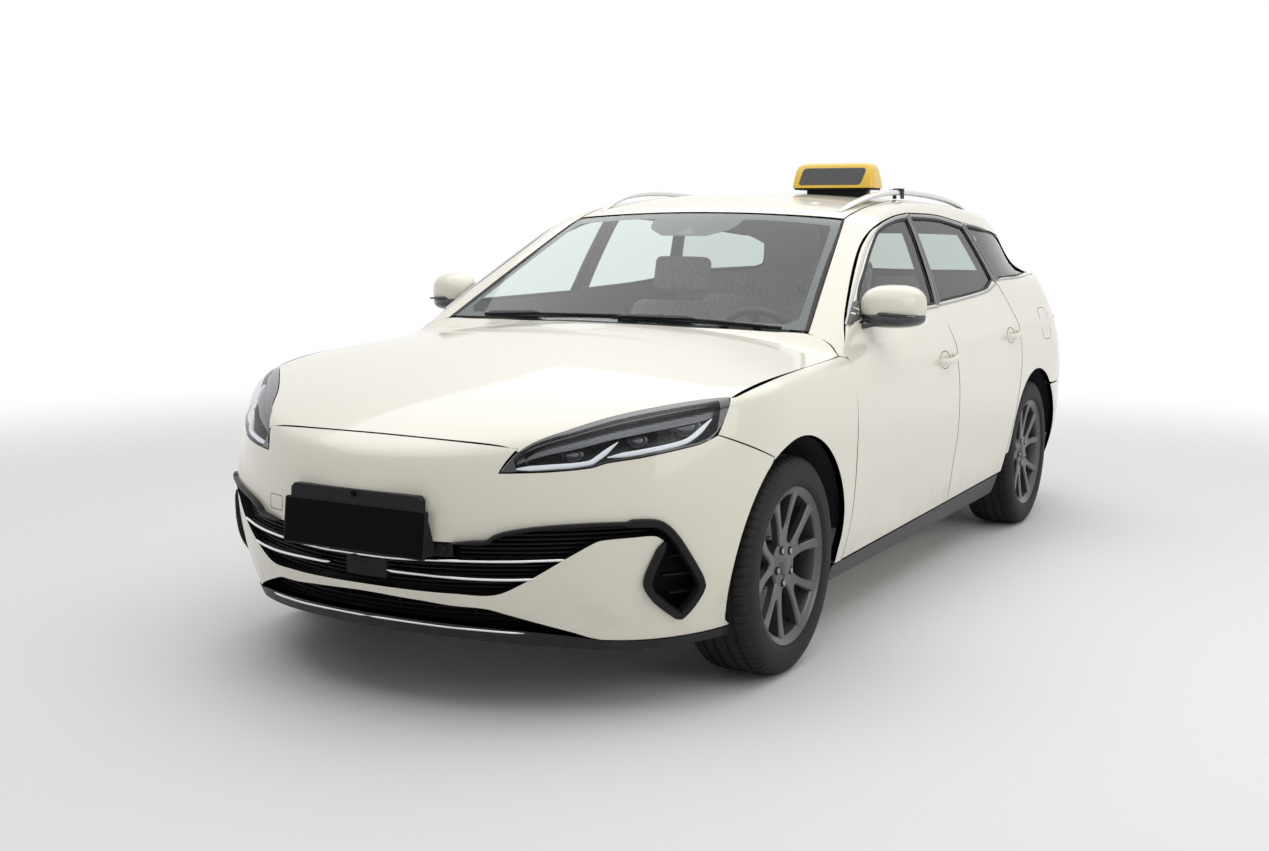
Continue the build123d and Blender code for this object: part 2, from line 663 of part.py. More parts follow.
# Taxi sign: dark base that follows the roof, lit box on top, strap and clamp to the left rail
with BuildPart() as sign_base:
    add(box((165, 505), (205, 345), (1440, 1520)))
    fillet(sign_base.edges().filter_by(Axis.Z), 24)
    add(FORM[0], mode=Mode.SUBTRACT)
save(sign_base.part, "sign_base")
with BuildPart() as taxi_sign:
    with BuildSketch(Plane.XY.offset(1520)):
        with Locations((335, 275)):
            RectangleRounded(370, 140, 30)
    with BuildSketch(Plane.XY.offset(1622)):
        with Locations((335, 275)):
            RectangleRounded(350, 112, 30)
    loft()
    fillet(taxi_sign.faces().sort_by(Axis.Z)[-1].edges(), 10)
save(taxi_sign.part, "taxi_sign")
with BuildPart() as sign_lead:
    add(rod((511, 300, 1508), (562, 372, 1521), 4))
    add(box((556, 594), (356, 388), (1484, 1526)))
    add(box((561.7, 588.3), (300, 500), (1400, 1517)), mode=Mode.SUBTRACT)
    add(roof_rails.part, mode=Mode.SUBTRACT)
save(sign_lead.part, "sign_lead")

# Plain engine and gearbox mass on the subframe, and the battery mass under the load floor
with BuildPart() as power_unit:
    add(box((-365, 365), (-1980, -1150), (262.3, 790)))
    fillet(power_unit.edges().filter_by(Axis.Z), 60)
save(power_unit.part, "power_unit")
with BuildPart() as battery_pack:
    add(box((-430, 430), (830, 1270), (300, 499.7)))
    fillet(battery_pack.edges().filter_by(Axis.Z), 40)
save(battery_pack.part, "battery_pack")

# Dashboard moulding with the steering column
AXIS_Y = cos(radians(STEER_TILT))
AXIS_Z = sin(radians(STEER_TILT))


def on_column(distance):
    """Point on the steering axis, counted from the wheel's centre towards the driver."""
    return (STEER_AT[0], STEER_AT[1] + distance * AXIS_Y, STEER_AT[2] + distance * AXIS_Z)


with BuildPart() as dashboard:
    with BuildSketch(Plane.YZ.offset(-700)):
        with BuildLine():
            Polyline(
                (-969.7, 640), (-969.7, 900), (-900, 962), (-640, 985), (-560, 940), (-575, 800), (-660, 640), close=True,
            )
        make_face()
    extrude(amount=1400)
    add(rod(on_column(-160), on_column(-32.3), 24))
save(dashboard.part, "dashboard")

# Steering wheel with hub and three spokes
with BuildPart() as steering_wheel:
    with BuildSketch(Plane.XZ):
        with Locations((175, 0)):
            Circle(15)
    revolve(axis=Axis.Z)
    add(rod((0, 0, -32), (0, 0, 8), 42))
    for angle in (0, 180, 270):
        add(box((30, 172), (-14, 14), (-18, -6)).rotate(Axis.Z, angle))
STEER_PLANE = Plane(origin=STEER_AT, x_dir=(1, 0, 0), z_dir=(0, AXIS_Y, AXIS_Z))
save(STEER_PLANE.location * steering_wheel.part, "steering_wheel")

# Front seats and rear bench as plain cushions with headrests
with BuildPart() as front_seats:
    for side in (-1, 1):
        with BuildSketch(Plane.YZ.offset(side * 370 - 250)):
            with BuildLine():
                Polyline(
                    (-470, 300), (60, 300), (160, 420), (310, 1030), (215, 1050), (70, 500), (-460, 470), close=True,
                )
            make_face()
        extrude(amount=500)
        add(box((side * 370 - 200, side * 370 + 200), (-420, 40), (235.3, 310)))
        add(box((side * 370 - 130, side * 370 + 130), (232, 325), (1080, 1235)))
        for x in (-60, 60):
            add(rod((side * 370 + x, 262, 1000), (side * 370 + x, 278, 1090), 7))
save(front_seats.part, "front_seats")
with BuildPart() as rear_seat:
    with BuildSketch(Plane.YZ.offset(-625)):
        with BuildLine():
            Polyline(
                (380, 235.3), (789.7, 235.3), (789.7, 520.3), (950, 520.3), (1060, 1030), (965, 1050), (810, 560),
                (740, 480), (390, 460), close=True,
            )
        make_face()
    extrude(amount=1250)
    for x in (-370, 0, 370):
        add(box((x - 120, x + 120), (975, 1055), (1020, 1150)))
save(rear_seat.part, "rear_seat")
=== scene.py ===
import math

import bpy
import numpy as np
from mathutils import Matrix, Vector, geometry


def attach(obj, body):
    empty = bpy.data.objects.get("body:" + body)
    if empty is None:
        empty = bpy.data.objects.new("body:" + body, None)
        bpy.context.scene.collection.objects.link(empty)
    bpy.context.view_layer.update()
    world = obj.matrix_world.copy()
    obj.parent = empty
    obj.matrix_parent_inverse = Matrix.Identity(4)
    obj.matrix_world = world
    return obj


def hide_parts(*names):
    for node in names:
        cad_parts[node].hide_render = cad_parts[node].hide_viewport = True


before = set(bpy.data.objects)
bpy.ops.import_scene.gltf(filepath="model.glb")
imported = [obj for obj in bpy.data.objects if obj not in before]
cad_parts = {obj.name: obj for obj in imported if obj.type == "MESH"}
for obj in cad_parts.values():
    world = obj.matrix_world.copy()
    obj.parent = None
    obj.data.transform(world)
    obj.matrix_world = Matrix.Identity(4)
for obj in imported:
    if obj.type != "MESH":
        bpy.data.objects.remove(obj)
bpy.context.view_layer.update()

# Outer form of the body. The steel skins of the real car follow one set of stamped surfaces: a lower
# tub seen in plan, a deck over it, a glasshouse and a crowned roof, blended where they meet.
# Rows hold millimetres: height or length first, then front end, rear end and half width, or crown and drop.
TUB = np.array([
    (185, -2315, 2290, 868), (380, -2390, 2406, 920), (620, -2406, 2422, 937.5), (800, -2352, 2400, 931),
    (960, -2300, 2362, 893), (1180, -2200, 2285, 780),
], float)
DECK = np.array([
    (-2500, 690, 60), (-2150, 822, 45), (-1800, 912, 35), (-1080, 1022, 85), (0, 1070, 22),
    (1200, 1144, 19), (2500, 1150, 18),
], float)
HOUSE = np.array([
    (900, -1255, 2370, 872), (1040, -990, 2330, 843), (1240, -612, 2200, 768), (1430, -248, 2035, 676),
    (1560, 0, 1920, 600),
], float)
ROOF = np.array([
    (-1400, 1250, 38), (-400, 1400, 36), (0, 1482, 34), (500, 1513, 34), (1300, 1486, 40), (2200, 1388, 36),
    (2600, 1340, 40),
], float)


def fair_curve(rows):
    """Natural cubic through the rows, as a function of the first column."""
    t, v = rows[:, 0], rows[:, 1:]
    n, h = len(t), np.diff(t)
    lhs = np.eye(n)
    rhs = np.zeros_like(v)
    for i in range(1, n - 1):
        lhs[i, i - 1:i + 2] = h[i - 1], 2 * (h[i - 1] + h[i]), h[i]
        rhs[i] = 6 * ((v[i + 1] - v[i]) / h[i] - (v[i] - v[i - 1]) / h[i - 1])
    m = np.linalg.solve(lhs, rhs)

    def at(q):
        q = np.clip(q, t[0], t[-1])
        i = np.clip(np.searchsorted(t, q) - 1, 0, n - 2)
        a = ((t[i + 1] - q) / h[i])[:, None]
        b = 1 - a
        bend = ((a**3 - a) * m[i] + (b**3 - b) * m[i + 1]) * (h[i] ** 2)[:, None] / 6
        return (a * v[i] + b * v[i + 1] + bend).T

    return at


tub_at, deck_at, house_at, roof_at = (fair_curve(rows) for rows in (TUB, DECK, HOUSE, ROOF))


def plan_gap(x, y, front, rear, half, bow, part, tail_bow, tail_part):
    """Distance outside a plan outline of two bowed ends joined by straight sides."""
    x = np.abs(x)
    worst = np.full(x.shape, -1e9)
    for end, sign, big, corner_part in ((front, -1, bow, part), (rear, 1, tail_bow, tail_part)):
        corner = half - corner_part
        s = corner_part / (big - corner)
        c = np.sqrt(1 - s * s)
        mid_y = end - sign * (big * (1 - c) + corner * c)
        mid_x = (big - corner) * s
        along = (y - mid_y) * sign
        round_corner = np.hypot(x - mid_x, along) - corner
        bowed = np.hypot(x, y - end + sign * big) - big
        inside_bow = np.arctan2(x - mid_x, along) < np.arcsin(s)
        gap = np.where(along < 0, x - half, np.where(inside_bow, bowed, round_corner))
        worst = np.maximum(worst, gap)
    return worst


def soft_max(a, b, soft):
    """The larger of two, with a rounded change from one to the other."""
    return 0.5 * (a + b + np.sqrt((a - b) ** 2 + soft**2))


def crown_gap(x, y, z, rows_at, span):
    """Height above a crowned surface whose middle and drop at span follow the length."""
    centre, drop = rows_at(y)
    radius = (span**2 + drop**2) / (2 * drop)
    return z - centre + radius - np.sqrt(np.maximum(radius**2 - x**2, 1))


def body_gap(p):
    """Signed distance, in millimetres, outside the body's outer form."""
    x, y, z = p[:, 0], p[:, 1], p[:, 2]
    front, rear, half = tub_at(z)
    side = plan_gap(x, y, front, rear, half, 1000, 165.0, 2000, 187.0)
    scoop = 9 * np.exp(-(((z - 440) / 95) ** 2)) * np.clip((900 - np.abs(y + 60)) / 260, 0, 1)
    edge = 6 * np.exp(-(((z - (905 + 0.035 * y)) / 38) ** 2)) * np.clip((y + 900) / 500, 0, 1)
    side = side + scoop - edge * np.clip((1900 - y) / 500, 0, 1)
    lower = soft_max(side, crown_gap(x, y, z, deck_at, 900), 26)
    lower = soft_max(lower, 176 - z, 16)
    front, rear, half = house_at(z)
    taper = np.clip(y - 1000, 0, 700)
    half = half - 0.00022 * taper**2 - 0.3 * np.maximum(y - 1700, 0)
    glass = plan_gap(x, y, front, rear, half, 2900, 0.87 * half, 2500, 0.73 * half)
    upper = soft_max(glass, crown_gap(x, y, z, roof_at, 600), 22)
    upper = np.maximum(upper, 900 - z)
    return -soft_max(-lower, -upper, 10 + 0.09 * np.maximum(y - 1000, 0))


def body_normal(p):
    """Unit outward normals of the form at points p."""
    n = np.stack([
        body_gap(p + step) - body_gap(p - step) for step in (np.eye(3) * 1.5)
    ], 1)
    return n / np.linalg.norm(n, axis=1, keepdims=True)


def shoot(origin, ray, near, far, depth=0.0):
    """First points along rays where the form, drawn in by depth, is met from outside."""
    steps = np.linspace(near, far, 160)
    lo = np.full(len(ray), near)
    hi = np.full(len(ray), np.nan)
    open_rays = np.ones(len(ray), bool)
    for a, b in zip(steps[:-1], steps[1:]):
        hit = open_rays & (body_gap(origin + ray * b) + depth <= 0)
        lo[hit], hi[hit] = a, b
        open_rays &= ~hit
    hi[open_rays] = far
    lo[open_rays] = far
    for _ in range(22):
        mid = (lo + hi) / 2
        inside = body_gap(origin + ray * mid[:, None]) + depth <= 0
        hi = np.where(inside, mid, hi)
        lo = np.where(inside, lo, mid)
    return origin + ray * hi[:, None]


# Solid ivory paint under clear lacquer, as on every outer panel: gloss with a faint orange peel. Low on the
# body it is painted darker in patches, as painted shade, with rougher gloss there. The inner sides have the
# same paint without lacquer, painted darker as painted shade.
class Wire:
    """A shader socket that adds, scales and mixes like a number."""

    def __init__(self, tree, socket):
        self.tree, self.socket = tree, socket

    def feed(self, target, value):
        if isinstance(value, Wire):
            self.tree.links.new(value.socket, target)
        else:
            target.default_value = value

    def maths(self, kind, a, b):
        node = self.tree.nodes.new("ShaderNodeMath")
        node.operation = kind
        self.feed(node.inputs[0], a)
        self.feed(node.inputs[1], b)
        return Wire(self.tree, node.outputs[0])

    def __add__(self, other):
        return self.maths("ADD", self, other)

    def __rsub__(self, other):
        return self.maths("SUBTRACT", other, self)

    def __mul__(self, other):
        return self.maths("MULTIPLY", self, other)

    def rise(self, low, high):
        """0 at low, 1 at high, smooth between."""
        smooth = {"interpolation_type": "SMOOTHSTEP"}
        return self.make("ShaderNodeMapRange", smooth, Value=self, From_Min=low, From_Max=high)

    def mix(self, low, high):
        """A colour between low and high."""
        node = self.tree.nodes.new("ShaderNodeMix")
        node.data_type = "RGBA"
        self.feed(node.inputs[0], self)
        self.feed(node.inputs[6], (*low, 1.0))
        self.feed(node.inputs[7], (*high, 1.0))
        return Wire(self.tree, node.outputs[2])

    def make(self, kind, settings=None, out=0, **values):
        node = self.tree.nodes.new(kind)
        for key, value in (settings or {}).items():
            setattr(node, key, value)
        for key, value in values.items():
            self.feed(node.inputs[key.replace("_", " ")], value)
        return Wire(self.tree, node.outputs[out])


class Finish:
    """A material with one Principled shader, and the piece's own coordinates to build on."""

    def __init__(self, name, colour, rough, metal=0.0, **sockets):
        self.material = bpy.data.materials.new(name)
        self.material.use_nodes = True
        self.tree = self.material.node_tree
        self.shader = self.tree.nodes["Principled BSDF"]
        self.at = Wire(self.tree, self.tree.nodes.new("ShaderNodeTexCoord").outputs["Object"])
        self.set(Base_Color=(*colour, 1.0), Roughness=rough, Metallic=metal, **sockets)

    def set(self, **sockets):
        for key, value in sockets.items():
            self.at.feed(self.shader.inputs[key.replace("_", " ")], value)
        return self

    def noise(self, scale, detail):
        return self.at.make("ShaderNodeTexNoise", Vector=self.at, Scale=scale, Detail=detail)

    def axis(self, letter):
        return self.at.make("ShaderNodeSeparateXYZ", out="XYZ".index(letter), Vector=self.at)

    def bump(self, height, strength, distance):
        relief = self.at.make("ShaderNodeBump", Strength=strength, Distance=distance, Height=height)
        return self.set(Normal=relief)

    def mottle(self, scale, detail, span, least):
        """Gloss that varies in patches."""
        return self.set(Roughness=self.noise(scale, detail) * span + least)

    def grain(self, scale, detail, strength, distance):
        """Fine relief over the whole surface."""
        return self.bump(self.noise(scale, detail), strength, distance)

    def waves(self, way, scale):
        return self.at.make("ShaderNodeTexWave", {"bands_direction": way}, Vector=self.at, Scale=scale)


IVORY = (0.80, 0.768, 0.66)
paint = Finish("paint_ivory", IVORY, 0.36, Coat_Weight=0.75, Coat_Roughness=0.05, Coat_IOR=1.45)
# Painted shade: the colour darkens in noise patches low on the body, for the shade on the lower sides; the
# gloss is rougher there.
low_painted_shade = (1.0 - paint.axis("Z").rise(0.22, 0.48)) * paint.noise(9.0, 5.0).rise(0.42, 0.75)
paint.set(
    Base_Color=(low_painted_shade * 0.35 + paint.noise(2.2, 2.0) * 0.05).mix(IVORY, (0.55, 0.51, 0.42)),
    Roughness=low_painted_shade * 0.25 + 0.32,
)
paint.grain(420.0, 2.0, 0.012, 0.001)
# The inner paint is a darker copy of the ivory: painted shade on the inner sides, the bumper beams and the
# floor pan.
under_paint_shaded = Finish("paint_inside_shaded", (0.62, 0.60, 0.51), 0.5).mottle(26.0, 4.0, 0.25, 0.4)
under_paint_shaded.grain(160.0, 3.0, 0.08, 0.002)
SKIN = [paint, under_paint_shaded]

# Hood: one steel pressing over the engine bay, hinged at its rear corners and shut at the nose. Its sides
# run along the lamps and fenders, and its rear edge follows the foot of the windscreen.
def from_top(points, depth=0.0):
    """Points x, y on the top of the form."""
    points = np.asarray(points, float)
    start = np.column_stack([points, np.full(len(points), 1800.0)])
    return shoot(start, np.tile((0, 0, -1.0), (len(points), 1)), 0, 1700, depth)


def smooth_ring(points, step, closed=True, sharp=38.0):
    """Points joined by a fair curve, with corners kept where the line turns by more than sharp degrees."""
    p = np.asarray(points, float)
    n = len(p)
    before, after = np.roll(p, 1, 0), np.roll(p, -1, 0)
    d0, d1 = p - before, after - p
    l0 = np.linalg.norm(d0, axis=1, keepdims=True) + 1e-9
    l1 = np.linalg.norm(d1, axis=1, keepdims=True) + 1e-9
    turn = np.degrees(np.arccos(np.clip(np.sum(d0 / l0 * d1 / l1, 1), -1, 1)))
    along = unit(d0 + d1)
    corner = turn > sharp
    if not closed:
        corner[[0, -1]] = True
    out = []
    for i in range(n if closed else n - 1):
        j = (i + 1) % n
        length = l1[i, 0]
        t0 = d1[i] / length if corner[i] else along[i]
        t1 = d1[i] / length if corner[j] else along[j]
        s = np.linspace(0, 1, max(int(round(length / step)), 1) + 1)[:-1, None]
        out.append(
            (2 * s**3 - 3 * s**2 + 1) * p[i] + (s**3 - 2 * s**2 + s) * length * t0
            + (3 * s**2 - 2 * s**3) * p[j] + (s**3 - s**2) * length * t1
        )
    if not closed:
        out.append(p[-1:])
    return np.vstack(out)


def mirrored(half):
    """A half outline, from the centre line round to the centre line, made whole."""
    half = np.asarray(half, float)
    other = half[::-1].copy()
    other[:, 0] *= -1
    keep = np.abs(other[:, 0]) > 1
    return np.vstack([half, other[keep]])


class Lens:
    """Rays that carry a flat outline out on to the form: parallel, or spread from one centre."""

    screen = 1500  # distance from the centre to the plane that spread outlines are drawn on

    def __init__(self, aim, at, spread=False):
        self.a = np.array(aim, float) / np.linalg.norm(aim)
        hint = np.array((0, 1, 0) if abs(self.a[2]) > 0.8 else (0, 0, 1), float)
        self.e1 = np.cross(hint, self.a)
        self.e1 /= np.linalg.norm(self.e1)
        self.e2 = np.cross(self.a, self.e1)
        self.at = np.array(at, float)
        self.spread = spread

    def flat(self, p):
        d = p - self.at
        uv = np.column_stack([d @ self.e1, d @ self.e2])
        return uv / (d @ self.a)[:, None] * self.screen if self.spread else uv

    def lift(self, uv, depth):
        side = uv[:, :1] * self.e1 + uv[:, 1:] * self.e2
        if self.spread:
            ray = self.a * self.screen + side
            ray /= np.linalg.norm(ray, axis=1, keepdims=True)
            start = np.tile(self.at, (len(uv), 1))
        else:
            ray = np.tile(self.a, (len(uv), 1))
            start = self.at + side
        lo = np.zeros(len(uv))
        hi = np.full(len(uv), 3000.0)
        inside = np.ones(len(uv), bool)
        for t in np.arange(40, 3000, 40.0):
            out = inside & (body_gap(start + ray * t) + depth > 0)
            hi[out] = t
            lo[out] = t - 40
            inside &= ~out
            if not inside.any():
                break
        for _ in range(20):
            mid = (lo + hi) / 2
            out = body_gap(start + ray * mid[:, None]) + depth > 0
            hi = np.where(out, mid, hi)
            lo = np.where(out, lo, mid)
        return start + ray * hi[:, None]


def within(uv, loop):
    """Which points lie inside a closed flat outline."""
    x, y = uv[:, 0][:, None], uv[:, 1][:, None]
    a, b = loop, np.roll(loop, -1, 0)
    straddle = (a[:, 1] > y) != (b[:, 1] > y)
    cross = (b[:, 0] - a[:, 0]) * (y - a[:, 1]) / (b[:, 1] - a[:, 1] + 1e-12) + a[:, 0]
    return (np.sum(straddle & (x < cross), 1) % 2).astype(bool)


def winding(loop):
    """1 for a flat outline that runs anticlockwise, -1 for clockwise."""
    return np.sign(np.sum(loop[:, 0] * np.roll(loop[:, 1], -1) - loop[:, 1] * np.roll(loop[:, 0], -1)))


def unit(rows):
    return rows / (np.linalg.norm(rows, axis=1, keepdims=True) + 1e-9)


def moved_in(loop, room):
    """A flat outline moved inwards by room, or outwards where room is negative."""
    ahead = unit(np.roll(loop, -1, 0) - np.roll(loop, 1, 0))
    return loop + np.column_stack([-ahead[:, 1], ahead[:, 0]]) * winding(loop) * room


def filled(loops, grid, room, weld):
    """Triangles over a flat outline and its holes: points, faces, and each loop's places among the points."""
    def inside(points):
        keep = within(points, loops[0])
        for hole in loops[1:]:
            keep &= ~within(points, hole)
        return keep

    rim = np.vstack(loops)
    grid = np.array([g for g in grid[inside(grid)] if np.min(np.hypot(*(rim - g).T)) > room]).reshape(-1, 2)
    edges, start = [], 0
    for loop in loops:
        count = len(loop)
        edges += [(start + i, start + (i + 1) % count) for i in range(count)]
        start += count
    done = geometry.delaunay_2d_cdt([Vector(q) for q in np.vstack([rim, grid])], edges, [], 0, weld)
    points = np.array([tuple(q) for q in done[0]])
    faces = np.array([f for f in done[2] if len(f) == 3])
    came_from = {old: new for new, olds in enumerate(done[3]) for old in olds}
    ids, start = [], 0
    for loop in loops:
        ids.append(np.array([came_from[start + i] for i in range(len(loop))]))
        start += len(loop)
    return points, faces[inside(points[faces].mean(1))], ids


class Shape:
    """Points, faces, face finishes and normals of a mesh in the making, in millimetres."""

    def __init__(self):
        self.points, self.faces, self.finish, self.normals = [], [], [], []

    def add(self, points, faces, finish=0, normals=None):
        base = sum(len(p) for p in self.points)
        points = np.asarray(points, float)
        self.points.append(points)
        self.normals.append(np.zeros_like(points) if normals is None else np.asarray(normals, float))
        self.faces += [tuple(int(i) + base for i in face) for face in faces]
        self.finish += [finish] * len(faces)
        return base

    def flipped(self):
        other = Shape()
        for points, normals in zip(self.points, self.normals):
            other.points.append(points * (-1, 1, 1))
            other.normals.append(normals * (-1, 1, 1))
        other.faces = [face[::-1] for face in self.faces]
        other.finish = list(self.finish)
        return other


def place(name, shape, finishes, body, replaces=(), flat_over=None):
    """Makes the piece's object, with its finishes, and joins it to its body."""
    mesh = bpy.data.meshes.new(name)
    points = np.vstack(shape.points) * 0.001
    mesh.from_pydata(points.tolist(), [], shape.faces)
    for finish in finishes:
        mesh.materials.append(finish.material)
    mesh.polygons.foreach_set("material_index", shape.finish)
    mesh.update()
    normals = np.vstack(shape.normals)
    known = np.linalg.norm(normals, axis=1) > 0.1
    if known.any():
        mesh.shade_smooth()
        own = np.zeros(len(points) * 3)
        mesh.vertices.foreach_get("normal", own)
        own = own.reshape(-1, 3)
        own[known] = normals[known]
        mesh.normals_split_custom_set_from_vertices(own.tolist())
    elif flat_over is not None:
        mesh.shade_smooth()
        mesh.set_sharp_from_angle(angle=math.radians(flat_over))
    piece = bpy.data.objects.new(name, mesh)
    bpy.context.scene.collection.objects.link(piece)
    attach(piece, body)
    if replaces:
        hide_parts(*replaces)
    return piece


def panel(lens, outline, holes=(), inset=3.5, depth=0.0, step=22.0, hem=14.0, back=None, shape=None):
    """A pressed sheet over an outline on the form, with rolled hems and, if asked, an inner sheet."""
    shape = shape or Shape()
    roll = 1.6
    row_step = step * 0.87
    edge_step = min(step, 14.0)
    loops = [moved_in(lens.flat(smooth_ring(outline, edge_step)), inset)]
    for hole in holes:
        loops.append(moved_in(lens.flat(smooth_ring(hole, edge_step)), -max(inset, 0)))
    low, high = loops[0].min(0), loops[0].max(0)
    rows = int((high[1] - low[1]) / row_step) + 2
    cols = int((high[0] - low[0]) / step) + 2
    grid = np.array([
        (low[0] + (c + 0.5 * (r % 2)) * step, low[1] + r * row_step)
        for r in range(rows) for c in range(cols)
    ])
    uv, faces, rims = filled(loops, grid, 0.55 * edge_step, 1e-4)
    p = lens.lift(uv, depth)
    n = body_normal(p)
    a, b, c = p[faces[:, 0]], p[faces[:, 1]], p[faces[:, 2]]
    inside_out = np.sum(np.cross(b - a, c - a) * n[faces[:, 0]], 1) < 0
    faces[inside_out] = faces[inside_out][:, ::-1]
    base = shape.add(p, faces, 0, n)
    if back:
        inner = lens.lift(uv, depth + back)
        missed = np.linalg.norm(inner - p, axis=1) > 2.5 * back
        inner[missed] = (p - back * n)[missed]
    for k, ids in enumerate(rims if hem > 0 else []):
        q, m = p[ids], n[ids]
        way = winding(loops[k]) * (1 if k == 0 else -1)
        out = np.cross(unit(np.roll(q, -1, 0) - np.roll(q, 1, 0)), m) * way
        rings = [
            (q + out * roll * 0.6 - m * roll * 0.25, (m + out) / 1.414),
            (q + out * roll - m * roll, out * 0.95 + m * 0.3),
            (q + out * roll - m * hem, out),
        ]
        if back:
            rings.append((inner[ids], out))
        last = base + ids
        for points, normals in rings:
            count = len(ids)
            new = shape.add(points, [], 0, normals) + np.arange(count)
            for i in range(count):
                j = (i + 1) % count
                quad = (last[i], new[i], new[j], last[j])
                shape.faces.append(quad if way < 0 else quad[::-1])
                shape.finish.append(0)
            last = new
    if back:
        shape.add(inner, faces[:, ::-1], 1, -body_normal(inner))
    return shape


HOOD_EDGE = [
    (0, -2284), (230, -2279), (446, -2259), (490, -2205), (538, -2137), (613, -2031), (713, -1915),
    (801, -1819), (848, -1776), (866, -1400), (868, -1004), (825, -974), (735, -952), (609, -975),
    (434, -1000), (222, -1036), (0, -1060),
]
down = Lens((0, 0, 1), (0, 0, 300))
hood_line = from_top(HOOD_EDGE)
place("hood_skin", panel(down, mirrored(hood_line), back=22.0), SKIN, "hood_body", ["hood"])

# Front fenders: bolted steel wings from the lamp back to the door, with the wheel arch cut in their side and
# a rolled lip round it. The upper edge meets the hood.
FRONT_AXLE, REAR_AXLE, AXLE_HEIGHT = -1455, 1335, 338


def from_side(points, depth=0.0):
    """Points y, z on the left side of the form."""
    points = np.asarray(points, float)
    start = np.column_stack([np.full(len(points), 1300.0), points])
    return shoot(start, np.tile((-1.0, 0, 0), (len(points), 1)), 0, 1290, depth)


def arch_line(axle, first, last, radius=390.0, count=26):
    """Points y, z round a wheel arch, from one angle to another in degrees above the rear horizontal."""
    turn = np.radians(np.linspace(first, last, count))
    return np.column_stack([axle + radius * np.cos(turn), AXLE_HEIGHT + radius * np.sin(turn)])


across = Lens((1, 0, 0), (0, 0, 0))
FRONT_EDGE = [(-978, 936), (-992, 700), (-1000, 480), (-1000, 266)]
hood_ring = smooth_ring(mirrored(hood_line), 14.0)
hood_side = hood_ring[(hood_ring[:, 0] > 800) & (hood_ring[:, 1] > -1770) & (hood_ring[:, 1] < -1016)]
fender_line = np.vstack([
    [(849, -1865, 783), (850, -1782, 884)], hood_side[::4], hood_line[10:11], from_side(FRONT_EDGE),
    from_side([(-1058, 266)]), from_side(arch_line(FRONT_AXLE, -3, 119, np.linspace(390, 403, 26))),
    from_side([(-1651, 699)]),
])
fender_lens = Lens((0.9, -0.05, 0.3), (100, -1330, 430), spread=True)
fender = panel(fender_lens, fender_line, back=18.0)
place("fender_left", fender, SKIN, "body", ["front_fenders"])
place("fender_right", fender.flipped(), SKIN, "body")

# Front bumper skin: a flexible moulding painted like the steel, clipped to the fenders and to the beam behind
# it. Each side has one hooked opening, from the middle air intake round to the pointed side vent.
HOOK = np.array([
    (0, -2400, 506), (308, -2383, 506), (400, -2348, 510), (419, -2339, 524), (450, -2323, 536),
    (520, -2283, 549), (615, -2217, 557), (704, -2138, 558), (762, -2074, 555), (780, -2051, 545),
    (801, -2022, 511), (822, -1983, 451), (835, -1940, 390), (837, -1925, 362), (830, -1928, 343),
    (811, -1943, 307), (792, -1959, 281), (786, -1974, 288), (760, -2040, 340), (752, -2063, 368),
    (750, -2072, 388), (760, -2069, 424), (780, -2051, 484), (785, -2045, 504), (770, -2065, 522),
    (726, -2118, 523), (661, -2181, 518), (644, -2197, 510), (573, -2248, 461), (518, -2279, 422),
    (463, -2302, 387), (418, -2318, 364), (378, -2333, 357), (293, -2363, 359), (0, -2400, 364),
], float)
LAMP = np.array([
    (410, -2303, 698), (449, -2261, 758), (490, -2205, 790), (538, -2137, 810), (613, -2031, 839),
    (713, -1915, 864), (801, -1819, 880), (846, -1782, 885), (858, -1801, 872), (855, -1832, 826),
    (845, -1872, 787), (835, -1898, 771), (818, -1931, 761), (726, -2062, 737), (650, -2141, 724),
    (620, -2170, 713), (526, -2239, 703),
], float)
SLOT_TOP = np.array([
    (852, -1764, 218), (790, -1912, 212), (714, -2028, 212), (624, -2126, 220), (568, -2183, 245),
    (494, -2243, 273), (421, -2292, 298), (369, -2320, 313), (284, -2351, 317), (174, -2381, 327),
    (0, -2400, 335),
], float)
ahead = Lens((0, -1, 0.05), (0, -1250, 520), spread=True)
front_arch = arch_line(FRONT_AXLE, 121, 196, np.linspace(403, 351, 18), 18)
bumper_line = np.vstack([
    hood_line[:2], [(446, -2261, 764), (425, -2290, 728)], LAMP[[0, 16, 15, 14, 13, 12, 11]],
    [(849, -1865, 783)], from_side([(-1651, 699)]), from_side(front_arch), SLOT_TOP,
])
bumper = panel(ahead, mirrored(bumper_line), [mirrored(HOOK)], step=16.0, back=16.0)
place("front_bumper_skin", bumper, SKIN, "body", ["front_bumper"])

# Doors: an outer skin hemmed round an inner pressing, with the window frame in one piece with it. The inner
# side carries a grey trim board. They hang on two hinges at the front edge.
trim_board = Finish("trim_board", (0.19, 0.19, 0.185), 0.62).grain(900.0, 2.0, 0.25, 0.0006)
FRONT_DOOR = [
    (-1000, 268), (126, 288), (130, 600), (132, 940), (120, 1055), (185, 1424), (0, 1408), (-242, 1366),
    (-367, 1316), (-515, 1238), (-733, 1112), (-855, 1034), (-978, 936), (-992, 700), (-1000, 480),
]
REAR_DOOR = [
    (126, 288), (130, 600), (132, 940), (120, 1055), (185, 1424), (560, 1420), (868, 1392), (1033, 1128),
    (1085, 1000), (1095, 900), (1075, 780), (1030, 650), (985, 545), (930, 450), (908, 380), (902, 303),
]
FRONT_WINDOW = [
    (-735, 1061), (90, 1074), (153, 1403), (0, 1390), (-235, 1350), (-358, 1299), (-507, 1221),
    (-690, 1116),
]
REAR_WINDOW = [(166, 1080), (834, 1110), (975, 1144), (847, 1373), (556, 1401), (208, 1406)]
DOOR_FINISH = [paint, trim_board]
